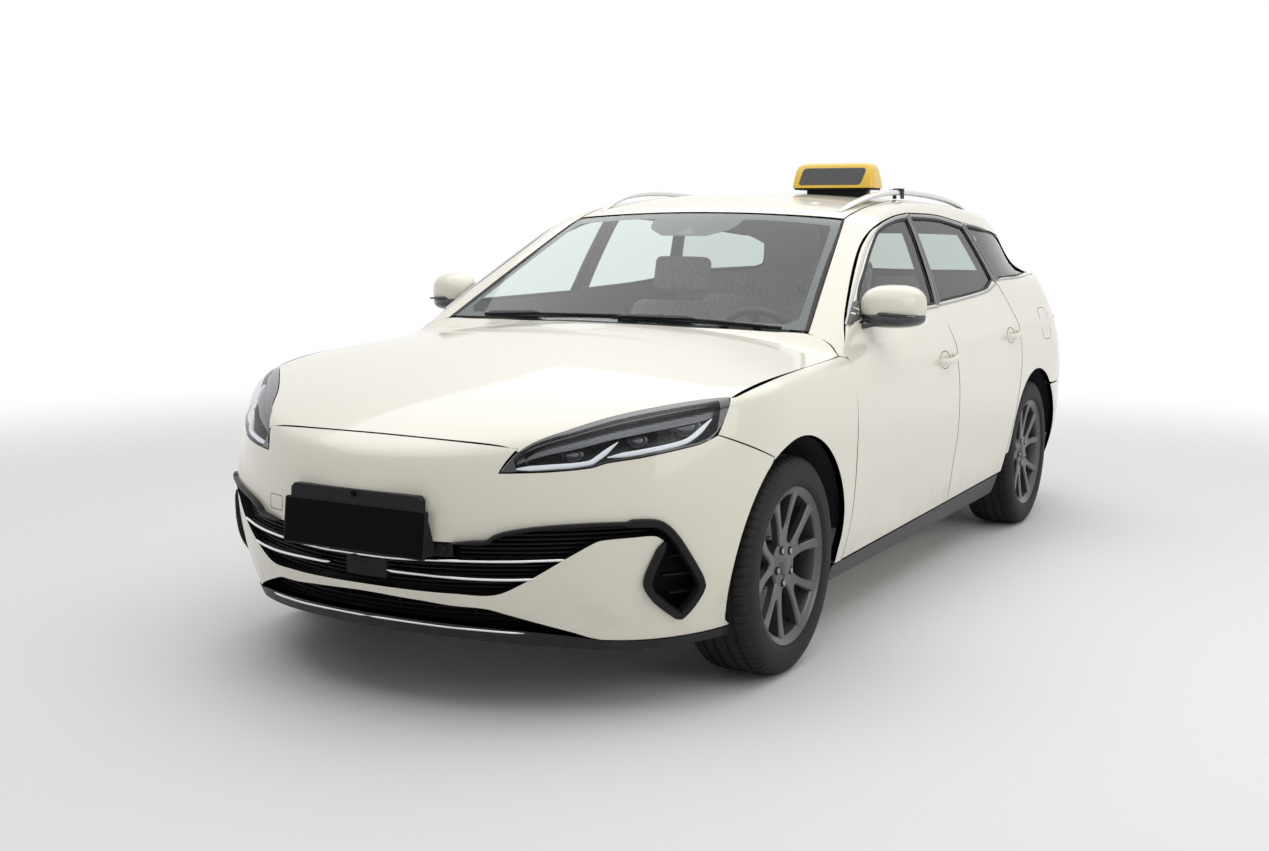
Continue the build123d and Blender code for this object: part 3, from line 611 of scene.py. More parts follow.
for end, outline, window in (("front", FRONT_DOOR, FRONT_WINDOW), ("rear", REAR_DOOR, REAR_WINDOW)):
    door = panel(across, from_side(outline), [from_side(window)], inset=3.0, back=46.0)
    for side, shape in (("left", door), ("right", door.flipped())):
        node = f"{end}_door_{side}"
        place(f"{node}_skin", shape, DOOR_FINISH, f"{node}_body", [node])

# Side outer panels: one stamping a side that makes the windscreen pillar, the rail over the doors, the rear
# pillar and the quarter round the rear arch. Spot welded to the frame inside, it carries the rear side glass.
def from_end(points, sign, depth=0.0):
    """Points x, z on the front (sign -1) or rear (sign 1) of the form."""
    points = np.asarray(points, float)
    start = np.column_stack([points[:, 0], np.full(len(points), sign * 2800.0), points[:, 1]])
    return shoot(start, np.tile((0, -sign * 1.0, 0), (len(points), 1)), 0, 2790, depth)


QUARTER_WINDOW = [
    (1080, 1150), (1480, 1153), (1830, 1160), (1850, 1176), (1740, 1286), (1560, 1332), (1140, 1364),
    (908, 1378),
]
TAILGATE_EDGE = [(606, 724), (636, 900), (640, 1040), (505, 1190), (480, 1260), (452, 1385)]
outward = Lens((0.9, 0.08, 0.36), (-640, 620, 420), spread=True)
tailgate_line = from_end(TAILGATE_EDGE, 1)
bumper_wrap = np.vstack([
    from_end([(680, 722), (750, 721)], 1), from_side([(2060, 717), (1930, 714), (1800, 710), (1720, 640)]),
])
roof_edge = from_top([
    (500, 1900), (548, 1600), (578, 1300), (588, 800), (588, 300), (584, 0), (579, -205),
])
side_line = np.vstack([
    from_side(FRONT_EDGE[:1]), hood_line[10:13], from_end([(579, 1393)], -1), roof_edge[::-1],
    tailgate_line[::-1], bumper_wrap, from_side(arch_line(REAR_AXLE, 52, 173)),
    from_side(REAR_DOOR[::-1][1:]), from_side([(185, 1424)]), from_side(FRONT_DOOR[6:13]),
])
side_skin = panel(outward, side_line, [from_side(QUARTER_WINDOW)], inset=2.6, back=20.0)
place("side_panel_left", side_skin, SKIN, "body", ["side_frames", "quarter_panels"])
place("side_panel_right", side_skin.flipped(), SKIN, "body")

# Roof: one crowned steel sheet between the two side panels, from the windscreen header to the tailgate. It is
# welded to the side panels along its two long edges.
roof_line = np.vstack([
    from_end([(0, 1419), (300, 1413), (577, 1396)], -1), roof_edge[::-1][1:],
    from_top([(260, 1946), (0, 1958)]),
])
roof = panel(down, mirrored(roof_line), step=34.0, back=14.0)
place("roof_skin", roof, SKIN, "body", ["roof_panel"])

# Tailgate and rear bumper: the painted steel hatch hung from the roof, with its window opening, and the
# moulded bumper skin below it that wraps round to the rear arches.
behind = Lens((0, 1, 0.12), (0, 1150, 760), spread=True)
TAIL_GLASS = [(0, 1150), (430, 1150), (408, 1340), (0, 1352)]
gate_line = np.vstack([
    from_top([(0, 1962), (260, 1950), (490, 1908)]), tailgate_line[::-1], from_end([(300, 718), (0, 718)], 1),
])
gate = panel(behind, mirrored(gate_line), [mirrored(from_end(TAIL_GLASS, 1))], back=24.0)
place("tailgate_skin", gate, [paint, trim_board], "tailgate_body", ["tailgate"])
rear_line = np.vstack([
    from_end([(0, 716), (300, 716), (606, 722)], 1), bumper_wrap,
    from_side(arch_line(REAR_AXLE, 50, -20, count=18)), from_side([(1860, 226), (2020, 242)]),
    from_end([(700, 262), (350, 248), (0, 244)], 1),
])
rear_bumper = panel(behind, mirrored(rear_line), back=16.0)
place("rear_bumper_skin", rear_bumper, SKIN, "body", ["rear_bumper"])

# Headlamps: a clear moulded cover over a dark housing, let into the nose between hood and bumper. Inside are
# a gloss black bezel, a smoked shelf, three projector modules and bright light guides along the lower edge.
def tray(lens, outline, inset, depth, shape=None, top=3.0):
    """A sunk floor with walls, as behind a lamp cover or a grille."""
    shape = panel(lens, outline, inset=inset, depth=depth, hem=0, shape=shape)
    loop = moved_in(lens.flat(smooth_ring(outline, 14.0)), inset)
    upper, lower = lens.lift(loop, top), lens.lift(loop, depth)
    count = len(loop)
    ring = [(i, (i + 1) % count, count + (i + 1) % count, count + i) for i in range(count)]
    middle = lower.mean(0)
    normals = middle - lower
    normals /= np.linalg.norm(normals, axis=1, keepdims=True)
    shape.add(np.vstack([upper, lower]), ring, 0, np.vstack([normals, normals]))
    return shape


def tube_faces(rows, count):
    """Quads between rings of equal count."""
    return [
        (i * count + j, i * count + (j + 1) % count, (i + 1) * count + (j + 1) % count, (i + 1) * count + j)
        for i in range(rows - 1) for j in range(count)
    ]


def ribbon(path, profile, step=9.0, lift=0.0, taper=0.0, shape=None, finish=0, normals=None):
    """A bar of one section, across and up, laid along a path on the form."""
    shape = shape or Shape()
    p = smooth_ring(path, step, closed=False)
    n = body_normal(p) if normals is None else np.tile(normals, (len(p), 1)).astype(float)
    b = unit(np.cross(unit(np.gradient(p, axis=0)), n))
    length = np.concatenate([[0], np.cumsum(np.linalg.norm(np.diff(p, axis=0), axis=1))])
    size = np.ones(len(p))
    if taper:
        size = np.clip(np.minimum(length, length[-1] - length) / taper, 0.08, 1) ** 0.7
    k = len(profile)
    rows = [
        p + b * side * size[:, None] + n * (lift + up * np.where(up > 0, size, 1)[:, None])
        for side, up in profile
    ]
    points = np.stack(rows, 1).reshape(-1, 3)
    faces = tube_faces(len(p), k) + [tuple(range(k))[::-1], tuple(range((len(p) - 1) * k, len(p) * k))]
    shape.add(points, faces, finish)
    return shape


def half_round(width, height, foot=-2.0):
    """Section of a bright strip: a low round top on two straight sides."""
    turn = np.linspace(0, np.pi, 7)
    top = [(-width / 2 * math.cos(a), height * math.sin(a) ** 0.8) for a in turn]
    return [(-width / 2, foot), *top, (width / 2, foot)]


def circle(count):
    """Angles of count points round a full turn."""
    return np.linspace(0, 2 * np.pi, count, endpoint=False)


def turned(at, axis, profile, count=28, wide=1.0, shape=None, finish=0):
    """A turned form: radius and height rows about an axis, stretched sideways by wide."""
    shape = shape or Shape()
    a = np.array(axis, float) / np.linalg.norm(axis)
    side = np.cross((0, 0, 1) if abs(a[2]) < 0.9 else (0, 1, 0), a)
    side /= np.linalg.norm(side)
    up = np.cross(a, side)
    turn = circle(count)
    rows = [
        np.array(at) + a * h + r * (np.cos(turn)[:, None] * side * wide + np.sin(turn)[:, None] * up)
        for r, h in profile
    ]
    faces = tube_faces(len(profile), count)
    faces.append(tuple(range((len(profile) - 1) * count, len(profile) * count)))
    shape.add(np.vstack(rows), faces, finish)
    return shape


def both_sides(name, shape, finishes, body, replaces=(), flat_over=None):
    """The left piece and its mirror image, on one body or on a left and a right one."""
    left, right = (body, body) if isinstance(body, str) else body
    place(f"{name}_left", shape, finishes, left, replaces, flat_over)
    place(f"{name}_right", shape.flipped(), finishes, right, (), flat_over)


gloss_black = Finish("gloss_black", (0.012, 0.012, 0.013), 0.12, Coat_Weight=0.6, Coat_Roughness=0.05)
gloss_black.mottle(40.0, 3.0, 0.08, 0.1)
housing_dark = Finish("lamp_housing", (0.014, 0.014, 0.016), 0.3, Specular_IOR_Level=0.25)
housing_dark.mottle(70.0, 2.0, 0.2, 0.2)
smoke_grey = Finish("lamp_shelf", (0.12, 0.123, 0.13), 0.22, 0.55)
smoke_grey.bump(smoke_grey.waves("Z", 70.0), 0.25, 0.001)
light_guide = Finish("light_guide", (0.86, 0.88, 0.9), 0.18, Coat_Weight=0.4)
light_guide.set(
    Base_Color=light_guide.waves("DIAGONAL", 60.0).rise(0.3, 0.7).mix((0.62, 0.65, 0.68), (0.93, 0.95, 0.97)),
    Emission_Color=(0.9, 0.95, 1.0, 1.0), Emission_Strength=0.2,
)


def clear_finish(name, tint, gloss=1.5):
    """Thin clear sheet: what is behind it, tinted, under a Fresnel gloss."""
    finish = Finish(name, tint, 0.02)
    tree = finish.tree
    through = tree.nodes.new("ShaderNodeBsdfTransparent")
    through.inputs["Color"].default_value = (*tint, 1.0)
    sheen = tree.nodes.new("ShaderNodeBsdfGlossy")
    sheen.inputs["Roughness"].default_value = 0.02
    edge = finish.at.make("ShaderNodeFresnel", IOR=gloss)
    behind_it = finish.at.make("ShaderNodeNewGeometry", out="Backfacing")
    edge = edge * (1.0 - behind_it) + behind_it * 0.05
    both = tree.nodes.new("ShaderNodeMixShader")
    tree.links.new(edge.socket, both.inputs[0])
    tree.links.new(through.outputs[0], both.inputs[1])
    tree.links.new(sheen.outputs[0], both.inputs[2])
    tree.links.new(both.outputs[0], tree.nodes["Material Output"].inputs["Surface"])
    return finish


lamp_cover = clear_finish("lamp_cover", (0.9, 0.91, 0.93), 1.28)
bowl = tray(ahead, LAMP, 2.0, 62.0)
both_sides("lamp_bowl", bowl, [housing_dark], "body", ["headlamps"])
lower = smooth_ring(LAMP[[0, 16, 15, 14, 13, 12, 11, 10, 9]], 20.0, closed=False)
upper = smooth_ring(LAMP[[0, 1, 2, 3, 4, 5, 6, 7, 8]], 20.0, closed=False)


def between(part):
    """A line part of the way from the lamp's upper edge to its lower edge."""
    pick = np.linspace(0, 1, 14)
    high, low = (
        np.array([np.interp(pick, np.linspace(0, 1, len(edge)), edge[:, i]) for i in range(3)]).T
        for edge in (upper, lower)
    )
    return high * (1 - part) + low * part


bezel_line = np.vstack([between(0.0), between(0.22)[::-1]])
bezel = panel(ahead, bezel_line, inset=0.5, depth=6.0, hem=6.0, step=14.0)
both_sides("lamp_bezel", bezel, [gloss_black], "body")
shelf_line = np.vstack([between(0.20)[1:], between(0.52)[::-1][:-1]])
shelf = panel(ahead, shelf_line, inset=0.5, depth=20.0, hem=10.0, step=14.0)
both_sides("lamp_shelf", shelf, [smoke_grey], "body")
GUIDES = [
    [(443, -2282, 710), (524, -2236, 716), (613, -2171, 725), (634, -2148, 741), (668, -2105, 780)],
    [(652, -2133, 740), (724, -2059, 752), (794, -1964, 770), (815, -1925, 788), (838, -1868, 830)],
]
guides = Shape()
for guide in GUIDES:
    ribbon(guide, [(-6, -9), (-7, 0), (-4, 3), (4, 3), (7, 0), (6, -9)], lift=-11.0, taper=46.0, shape=guides)
both_sides("light_guide", guides, [light_guide], "body", flat_over=40)
modules = Shape()
MODULES = [((792, -1914, 822), 24, 1.45), ((700, -2035, 790), 17, 1.3), ((560, -2165, 757), 17, 1.5)]
for spot, size, wide in MODULES:
    n = body_normal(np.array([spot], float))[0]
    aim = np.array((0.18, -0.98, 0.0)) * 0.7 + n * 0.3
    start = np.array(spot) - n * 46
    collar = [(size * 1.35, 0), (size * 1.35, 14), (size * 1.18, 18), (size * 1.1, 8)]
    dome = [(size, 6), (size * 0.94, 12), (size * 0.72, 17), (size * 0.4, 20), (2, 21)]
    turned(start, aim, collar, 28, wide, modules, 0)
    turned(start, aim, dome, 28, wide, modules, 1)
rim_hole = np.vstack([between(0.13)[1:-1], between(0.94)[1:-1][::-1]])
lamp_rim = panel(ahead, LAMP, [rim_hole], inset=3.2, depth=-0.6, hem=0, step=12.0)
both_sides("lamp_rim", lamp_rim, [gloss_black], "body")
lens_grey = Finish("projector_lens", (0.16, 0.17, 0.19), 0.06, 0.2, Coat_Weight=1.0)
lens_grey.mottle(30.0, 3.0, 0.05, 0.04)
both_sides("lamp_module", modules, [smoke_grey, lens_grey], "body", flat_over=40)
cover = panel(ahead, LAMP, inset=3.0, hem=8.0, step=16.0)
both_sides("lamp_cover", cover, [lamp_cover], "body")

# Front openings: the hooked intakes are lined with black plastic, painted darker than the slats as painted
# shade of their depth, with fine slats, two bright strips, the plate on its bracket and the radar block in
# the middle. A satin frame stands round each pointed side vent.
satin_black = Finish("satin_black", (0.012, 0.012, 0.013), 0.42, Specular_IOR_Level=0.15)
satin_black.mottle(55.0, 3.0, 0.14, 0.36)
satin_black.grain(1500.0, 2.0, 0.12, 0.0004)
# Deep black: black plastic painted darker than satin black, as painted shade of the depth behind the intakes
# and the slot; on the wheels it is painted shade in the nut wells.
black_with_depth_shade = Finish("black_with_depth_shade", (0.006, 0.006, 0.007), 0.6, Specular_IOR_Level=0.1)
black_with_depth_shade.mottle(18.0, 3.0, 0.3, 0.45)
bright = Finish("bright_strip", (0.72, 0.72, 0.73), 0.16, 1.0).mottle(90.0, 2.0, 0.1, 0.1)
liner = tray(ahead, mirrored(HOOK), 1.0, 70.0, top=4.0)
place("intake_liner", liner, [black_with_depth_shade], "body", ["grille"])
slats = Shape()
hook_flat = HOOK[:, [0, 2]]
SLAT = [(-2.2, -16), (-2.6, -2), (-1.6, 0), (1.6, 0), (2.6, -2), (2.2, -16)]
for z in np.arange(372, 560, 12.4):
    xs = np.arange(0, 850, 6.0)
    row = np.column_stack([xs, z + 0.018 * xs])
    open_at = within(row, hook_flat) & (xs < 735)
    if z > 455:
        open_at &= xs > 305
    cuts = np.flatnonzero(np.diff(open_at.astype(int))) + 1
    for part, free in zip(np.split(row, cuts), np.split(open_at, cuts)):
        if free[0] and len(part) > 6:
            on = from_end(part[[0, len(part) // 3, 2 * len(part) // 3, -1]], -1, 24.0)
            ribbon(on, SLAT, 22.0, shape=slats)
both_sides("intake_slat", slats, [satin_black], "body", flat_over=30)
STRIPS = [
    [(0, -2410, 452), (131, -2405, 452), (306, -2381, 457), (444, -2325, 460), (575, -2250, 465)],
    [(100, -2410, 414), (131, -2405, 412), (316, -2369, 407), (430, -2320, 407), (503, -2285, 410)],
]
strips = Shape()
for strip in STRIPS:
    on = np.array(strip, float)
    ribbon(from_end(on[:, [0, 2]], -1), half_round(9, 5, -12), lift=-1.0, taper=14.0, shape=strips)
both_sides("intake_strip", strips, [bright], "body", flat_over=50)
band_line = from_end([(-300, 466), (300, 466), (300, 503), (-300, 503)], -1, 6.0)
band = panel(ahead, band_line, inset=0, depth=6.0, hem=20.0)
place("sensor_band", band, [satin_black], "body")
VENT = HOOK[8:25]
ring = Shape()
VENT_RIM = [(-15, -22), (-15, -1), (-11, 3.5), (6, 1.5), (9, -4), (9, -22)]
ribbon(HOOK[7:24], VENT_RIM, step=7.0, taper=25.0, shape=ring)
HOOK_RIM = [(-9, -20), (-9, 0), (-6, 2), (1, 0), (3, -6), (3, -20)]
ribbon(HOOK[1:9], HOOK_RIM, lift=-1.0, taper=60.0, shape=ring)
both_sides("vent_frame", ring, [satin_black], "body", flat_over=35)
ribs = Shape()
for z in (345, 400, 455):
    xs = np.arange(740, 850, 3.0)
    on = xs[within(np.column_stack([xs, np.full(len(xs), float(z))]), VENT[:, [0, 2]])]
    if len(on) > 3:
        line = from_end([(on[0], z), ((on[0] + on[-1]) / 2, z), (on[-1], z)], -1, 26.0)
        ribbon(line, [(-2, -20), (-2, 0), (2, 0), (2, -20)], 10.0, shape=ribs)
both_sides("vent_rib", ribs, [satin_black], "body", flat_over=30)


def slab(outline, lay, thick, bevel=2.0, step=14.0, shape=None, finish=0):
    """A flat plate of an outline with bevelled edges, laid in space by lay(flat points, depth)."""
    shape = shape or Shape()
    loop = smooth_ring(np.asarray(outline, float), step)
    low, high = loop.min(0), loop.max(0)
    grid = np.array([
        (x, y) for x in np.arange(low[0], high[0], step) for y in np.arange(low[1], high[1], step)
    ])
    flat, faces, (ids,) = filled([loop], grid, 0.6 * step, 1e-5)
    inner = flat.copy()
    inner[ids] = moved_in(loop, bevel)
    base = shape.add(lay(inner, 0.0), faces, finish) + ids
    under = shape.add(lay(flat, thick), faces[:, ::-1], finish) + ids
    lip = shape.add(lay(loop, bevel), [], finish) + np.arange(len(ids))
    for i in range(len(ids)):
        j = (i + 1) % len(ids)
        for quad in ((base[i], lip[i], lip[j], base[j]), (lip[i], under[i], under[j], lip[j])):
            shape.faces.append(quad if winding(loop) > 0 else quad[::-1])
            shape.finish.append(finish)
    return shape


def facing(at, e1, e2):
    """Lays flat points at a spot, along e1 and e2, with depth going behind them."""
    e1, e2 = (np.array(e, float) / np.linalg.norm(e) for e in (e1, e2))
    away = np.cross(e1, e2)
    return lambda uv, depth: np.array(at) + uv[:, :1] * e1 + uv[:, 1:] * e2 - away * depth


def rounded(half_w, half_h, r):
    """A rectangle with round corners."""
    turn = np.radians([0, 22, 45, 68, 90])
    out = []
    for sx, sy, first in ((1, 1, 0), (-1, 1, 90), (-1, -1, 180), (1, -1, 270)):
        for a in turn + math.radians(first):
            out.append((sx * (half_w - r) + r * math.cos(a), sy * (half_h - r) + r * math.sin(a)))
    return out


PLATE_X = 7
plate_at = facing((PLATE_X, -2421, 529), (1, 0, 0), (0, 0.10, 1))
plate = slab(rounded(247, 67, 9), plate_at, 11.0, 2.0, 22.0, finish=0)
face_at = facing((PLATE_X, -2422, 529), (1, 0, 0), (0, 0.10, 1))
slab(rounded(242, 62, 6), face_at, 1.5, 0.5, 30.0, plate, 1)
BRACKET = [(-226, 60), (-226, 92), (-214, 104), (214, 104), (226, 92), (226, 60)]
slab(BRACKET, facing((PLATE_X, -2420, 530), (1, 0, 0), (0, 0.06, 1)), 26.0, 2.0, 30.0, plate, 0)
for x in (-238, 252):
    s = 1 if x > 0 else -1
    cheek_at = facing((x, -2415, 531), (0.12 * s, 1, 0), (0, 0.1, 1))
    slab([(0, -62), (0, 60), (34, -30), (46, -62)], cheek_at, 6.0, 1.0, 20.0, plate, 0)
turned((PLATE_X, -2414, 622), (0, -1, 0.05), [(9, 0), (9, 3), (7, 4), (3, 3)], 16, 1.0, plate, 1)
plate_black = Finish("plate_blank", (0.0015, 0.0015, 0.0016), 0.6, Specular_IOR_Level=0.05)
plate_black.mottle(14.0, 3.0, 0.2, 0.4)
place("plate_and_bracket", plate, [satin_black, plate_black], "body", ["front_plate"], 30)
radar = slab(rounded(72, 42, 7), facing((14, -2374, 424), (1, 0, 0), (0, 0, 1)), 26.0, 3.0, 16.0)
for x in (-272, 272):
    spot = from_end([(x, 485)], -1)[0]
    aim = body_normal(spot[None])[0]
    turned(spot - aim * 4, aim, [(16, 0), (16, 3), (14, 4), (12, 2.5), (10, 3.5), (4, 4)], 24, 1.0, radar, 0)
place("radar_and_sensors", radar, [satin_black], "body", flat_over=30)

# Lower front: a black slot with a grid behind it, its liner painted darker as painted shade of the slot's
# depth, and the dark grey lip under the nose with its thin bright line. The grey plastic is unpainted and
# grained, clipped under the bumper skin.
grey_plastic = Finish("grey_plastic", (0.02, 0.02, 0.021), 0.5, Specular_IOR_Level=0.25)
grey_plastic.set(
    Base_Color=grey_plastic.noise(12.0, 4.0).rise(0.3, 0.8).mix((0.017, 0.017, 0.018), (0.026, 0.026, 0.027)),
    Roughness=grey_plastic.noise(60.0, 3.0) * 0.16 + 0.42,
)
grey_plastic.grain(1300.0, 2.0, 0.2, 0.0004)
LIP_LOW = np.array([
    (845, -1760, 184), (780, -1905, 184), (640, -2100, 190), (480, -2240, 202), (240, -2350, 214),
    (0, -2380, 220),
], float)
LIP_TOP = np.array([
    (0, -2400, 262), (240, -2370, 257), (445, -2275, 248), (540, -2195, 240), (614, -2136, 224),
], float)
slot = tray(ahead, mirrored(np.vstack([SLOT_TOP[::-1][:8], LIP_TOP[::-1]])), -2.0, 90.0, top=2.0)
place("slot_liner", slot, [black_with_depth_shade], "body")
lip_edge = mirrored(np.vstack([LIP_TOP, SLOT_TOP[:4][::-1], LIP_LOW]))
lip = panel(ahead, lip_edge, inset=0.5, hem=20.0, back=14.0, depth=-3.0)
place("front_lip", lip, [grey_plastic, grey_plastic], "body", ["lower_lip"])
on = from_end([(0, 265), (240, 260), (380, 254), (450, 250)], -1)
lip_line = ribbon(on, half_round(7, 4, -10), lift=6.0, taper=30.0)
both_sides("lip_line", lip_line, [bright], "body", flat_over=50)
grid = Shape()
for z in (276, 292, 308):
    xs = [x for x in np.arange(0, 600, 10.0) if z < np.interp(x, SLOT_TOP[::-1, 0], SLOT_TOP[::-1, 2]) - 6]
    ribbon(from_end([(xs[0], z), (xs[len(xs) // 2], z), (xs[-1], z)], -1, 34.0), SLAT, 20.0, shape=grid)
for x in (90, 200, 310):
    ribbon(from_end([(x, 264), (x, 290), (x, 320)], -1, 40.0), SLAT, 20.0, shape=grid)
both_sides("slot_grid", grid, [satin_black], "body", flat_over=30)

# Small front fittings: the square cover of the towing eye, shown by its shut line in the right of the bumper,
# and a round parking sensor pressed into each end of the skin.
# Dark line finish: real shut lines, and painted shade round the edges of the handle cups.
shut_and_cup_shade = Finish("shut_line_and_cup_shade", (0.05, 0.048, 0.04), 0.6).mottle(30.0, 3.0, 0.2, 0.5)


def looped(points):
    """A line whose end is joined to its start."""
    return np.vstack([points, points[:1]])


SEAM = [(-1.3, -1), (-1.0, 0.4), (1.0, 0.4), (1.3, -1)]
eye_cover = from_end([(-328 + x, 557 + z) for x, z in rounded(32, 21, 6)], -1)
cover_line = ribbon(looped(eye_cover), SEAM, 8.0)
place("tow_cover_line", cover_line, [shut_and_cup_shade], "body")
spot = from_side([(-1806, 543)])[0]
aim = body_normal(spot[None])[0]
ring = turned(spot - aim * 2, aim, [(11, 0), (11, 2.2), (9.5, 2.6), (9, 1.6), (8, 2.4), (3, 2.8)], 24)
both_sides("side_sensor", ring, [paint], "body", flat_over=30)

# Glass: a laminated windscreen bonded in with a black ceramic border and a sensor patch at its top, toughened
# door panes, darker rear panes and the tailgate window. All are thin curved sheets just below the skin.
screen_glass = clear_finish("screen_glass", (0.83, 0.89, 0.87))
door_glass = clear_finish("door_glass", (0.78, 0.84, 0.81))
privacy_glass = clear_finish("privacy_glass", (0.60, 0.66, 0.64))
frit = Finish("ceramic_border", (0.02, 0.021, 0.022), 0.25).mottle(50.0, 2.0, 0.12, 0.2)
sloped = Lens((0, -0.5, 0.866), (0, 0, 900))
SCREEN = mirrored(np.vstack([
    from_top([(0, -1044), (222, -1020), (434, -984), (609, -959), (722, -938)]),
    from_end([(574, 1392), (300, 1410), (0, 1416)], -1),
]))
screen = panel(sloped, SCREEN, inset=1.0, depth=2.0, hem=5.0, step=34.0)
place("windscreen_pane", screen, [screen_glass], "body", ["windscreen"])
CLEAR = mirrored(from_end([
    (0, 1050), (300, 1047), (540, 1040), (640, 1038), (672, 1056), (556, 1358), (542, 1372), (300, 1390),
    (196, 1393), (176, 1358), (96, 1328), (0, 1328),
], -1))
border = panel(sloped, SCREEN, [CLEAR], inset=0.8, depth=5.0, hem=0, step=30.0)
place("windscreen_border", border, [frit], "body")
EYE = mirrored(from_end([(0, 1362), (40, 1334), (0, 1334)], -1))
eye = panel(sloped, EYE, inset=0, depth=4.2, hem=0, step=12.0)
place("camera_window", eye, [smoke_grey], "body")


def pane(name, lens, outline, finish, body, node, whole=False):
    """One window pane just below the skin, whole or as a left and a right one."""
    shape = panel(lens, outline, inset=-5.0, depth=7.0, hem=0, step=44.0)
    if whole:
        return place(name, shape, [finish], body, [node])
    for side, part in (("left", shape), ("right", shape.flipped())):
        owner = body.replace("SIDE", side)
        place(f"{name}_{side}", part, [finish], owner, [node.replace("SIDE", side)])


for end, window in (("front", FRONT_WINDOW), ("rear", REAR_WINDOW)):
    body, node = f"{end}_door_SIDE_body", f"{end}_door_glass_SIDE"
    pane(f"{end}_pane", across, from_side(window), door_glass, body, node)
pane("quarter_pane", outward, from_side(QUARTER_WINDOW), privacy_glass, "body", "quarter_glass")
rear_window = mirrored(from_end(TAIL_GLASS, 1))
pane("tailgate_pane", behind, rear_window, privacy_glass, "tailgate_body", "tailgate_glass", True)

# Window trim: satin bright strips along the belt and over the windows, rubber seals at the panes and dark
# grey appliques on the pillars. Each is clipped to the door or panel that it rides on.
satin_bright = Finish("satin_bright", (0.36, 0.363, 0.37), 0.3, 1.0).mottle(35.0, 3.0, 0.12, 0.24)
rubber = Finish("rubber_seal", (0.012, 0.012, 0.012), 0.7).grain(700.0, 2.0, 0.15, 0.0005)
pillar_grey = Finish("pillar_grey", (0.075, 0.077, 0.08), 0.35).mottle(45.0, 3.0, 0.12, 0.28)
TRIM = half_round(10, 4.0, -3)
FRAMES = {
    # piece: bright strips, window with its seal, pillar appliques, all as y, z on the side
    "front_door": (
        [[(-846, 1037), (-728, 1107), (-510, 1230), (-362, 1308), (-238, 1358), (0, 1400), (176, 1415)],
         [(-835, 1036), (-690, 1044), (-300, 1052), (114, 1060)]],
        FRONT_WINDOW,
        [[(92, 1070), (121, 1068), (179, 1414), (155, 1407)],
         [(-844, 1040), (-738, 1054), (-692, 1117), (-732, 1104)]],
    ),
    "rear_door": (
        [[(194, 1416), (560, 1412), (860, 1384)], [(134, 1064), (400, 1074), (834, 1096), (1020, 1127)]],
        REAR_WINDOW,
        [[(130, 1068), (164, 1078), (206, 1408), (189, 1415)],
         [(864, 1383), (1022, 1130), (978, 1140), (849, 1374)]],
    ),
    "quarter": (
        [[(884, 1390), (1140, 1372), (1560, 1341)], [(1058, 1140), (1480, 1143), (1836, 1150)]],
        QUARTER_WINDOW, [[(1040, 1138), (1079, 1150), (909, 1376), (882, 1386)]],
    ),
}
pillar_edge = np.vstack([from_top([(726, -941)]), from_end([(686, 1110), (640, 1230), (577, 1393)], -1)])
screen_seal = ribbon(pillar_edge, [(-7, -8), (-7, -0.5), (-3, 0.6), (4, 0.6), (7, -0.5), (7, -8)], 20.0)
both_sides("screen_seal", screen_seal, [rubber], "body", flat_over=50)


def door_bodies(door):
    return f"{door}_left_body", f"{door}_right_body"


for name, (lines, window, plates) in FRAMES.items():
    owners = "body" if name == "quarter" else door_bodies(name)
    strip = Shape()
    for line in lines:
        ribbon(from_side(line), TRIM, 16.0, shape=strip)
    both_sides(f"{name}_trim", strip, [satin_bright], owners, flat_over=50)
    loop = from_side(window)
    loop = loop[[2, 1, 0, 7, 6, 5]] if name == "quarter" else looped(loop)
    seal = ribbon(loop, [(-6, -9), (-6, 0), (-3, 1.5), (5, 0.5), (7, -4), (5, -9)], 16.0)
    both_sides(f"{name}_seal", seal, [rubber], owners, flat_over=50)
    plate = Shape()
    for outline in plates:
        panel(across, from_side(outline), inset=0.5, depth=-1.5, hem=5.0, step=24.0, shape=plate)
    both_sides(f"{name}_applique", plate, [pillar_grey], owners)

# Door handles: painted pull bars that stand on their two ends, each over a cup shown by a dark line round its
# edge, which is painted shade of the recess. The filler flap is a shut line on the left rear quarter, flush
# with the panel.
def pull(at_y, at_z):
    """A round bar that leaves the skin, runs along it and comes back."""
    ys = np.array([-92, -80, -55, 0, 50, 74, 84])
    lift = np.array([2, 20, 29, 32, 29, 20, 2])
    p = from_side(np.column_stack([at_y + ys, np.full(len(ys), at_z) + 0.06 * ys]))
    path = p + np.column_stack([lift, np.zeros((len(ys), 2))])
    turn = circle(12)
    return ribbon(path, [(13 * math.cos(a), 7 * math.sin(a)) for a in turn], 7.0, normals=(1, 0, 0))


for end, (at_y, at_z) in (("front_door", (-18, 866)), ("rear_door", (955, 905))):
    owners = door_bodies(end)
    both_sides(f"{end}_handle", pull(at_y, at_z), [paint], owners, flat_over=60)
    turn = circle(24)
    # The cup's edge ring: painted shade of the recess behind the handle.
    cup_shade_edge = from_side(np.column_stack([at_y - 12 + 62 * np.cos(turn), at_z + 33 * np.sin(turn)]))
    ring = ribbon(looped(cup_shade_edge), [(-1.6, -1), (-1.2, 0.5), (1.2, 0.5), (1.6, -1)], 9.0)
    both_sides(f"{end}_cup", ring, [shut_and_cup_shade], owners)
flap = [(1545 + y, 928 + z) for y, z in rounded(74, 72, 40)]
seam = from_side(flap)
line = ribbon(looped(seam), [(-1.5, -1), (-1.2, 0.4), (1.2, 0.4), (1.5, -1)], 10.0)
place("filler_flap_line", line, [shut_and_cup_shade], "body")

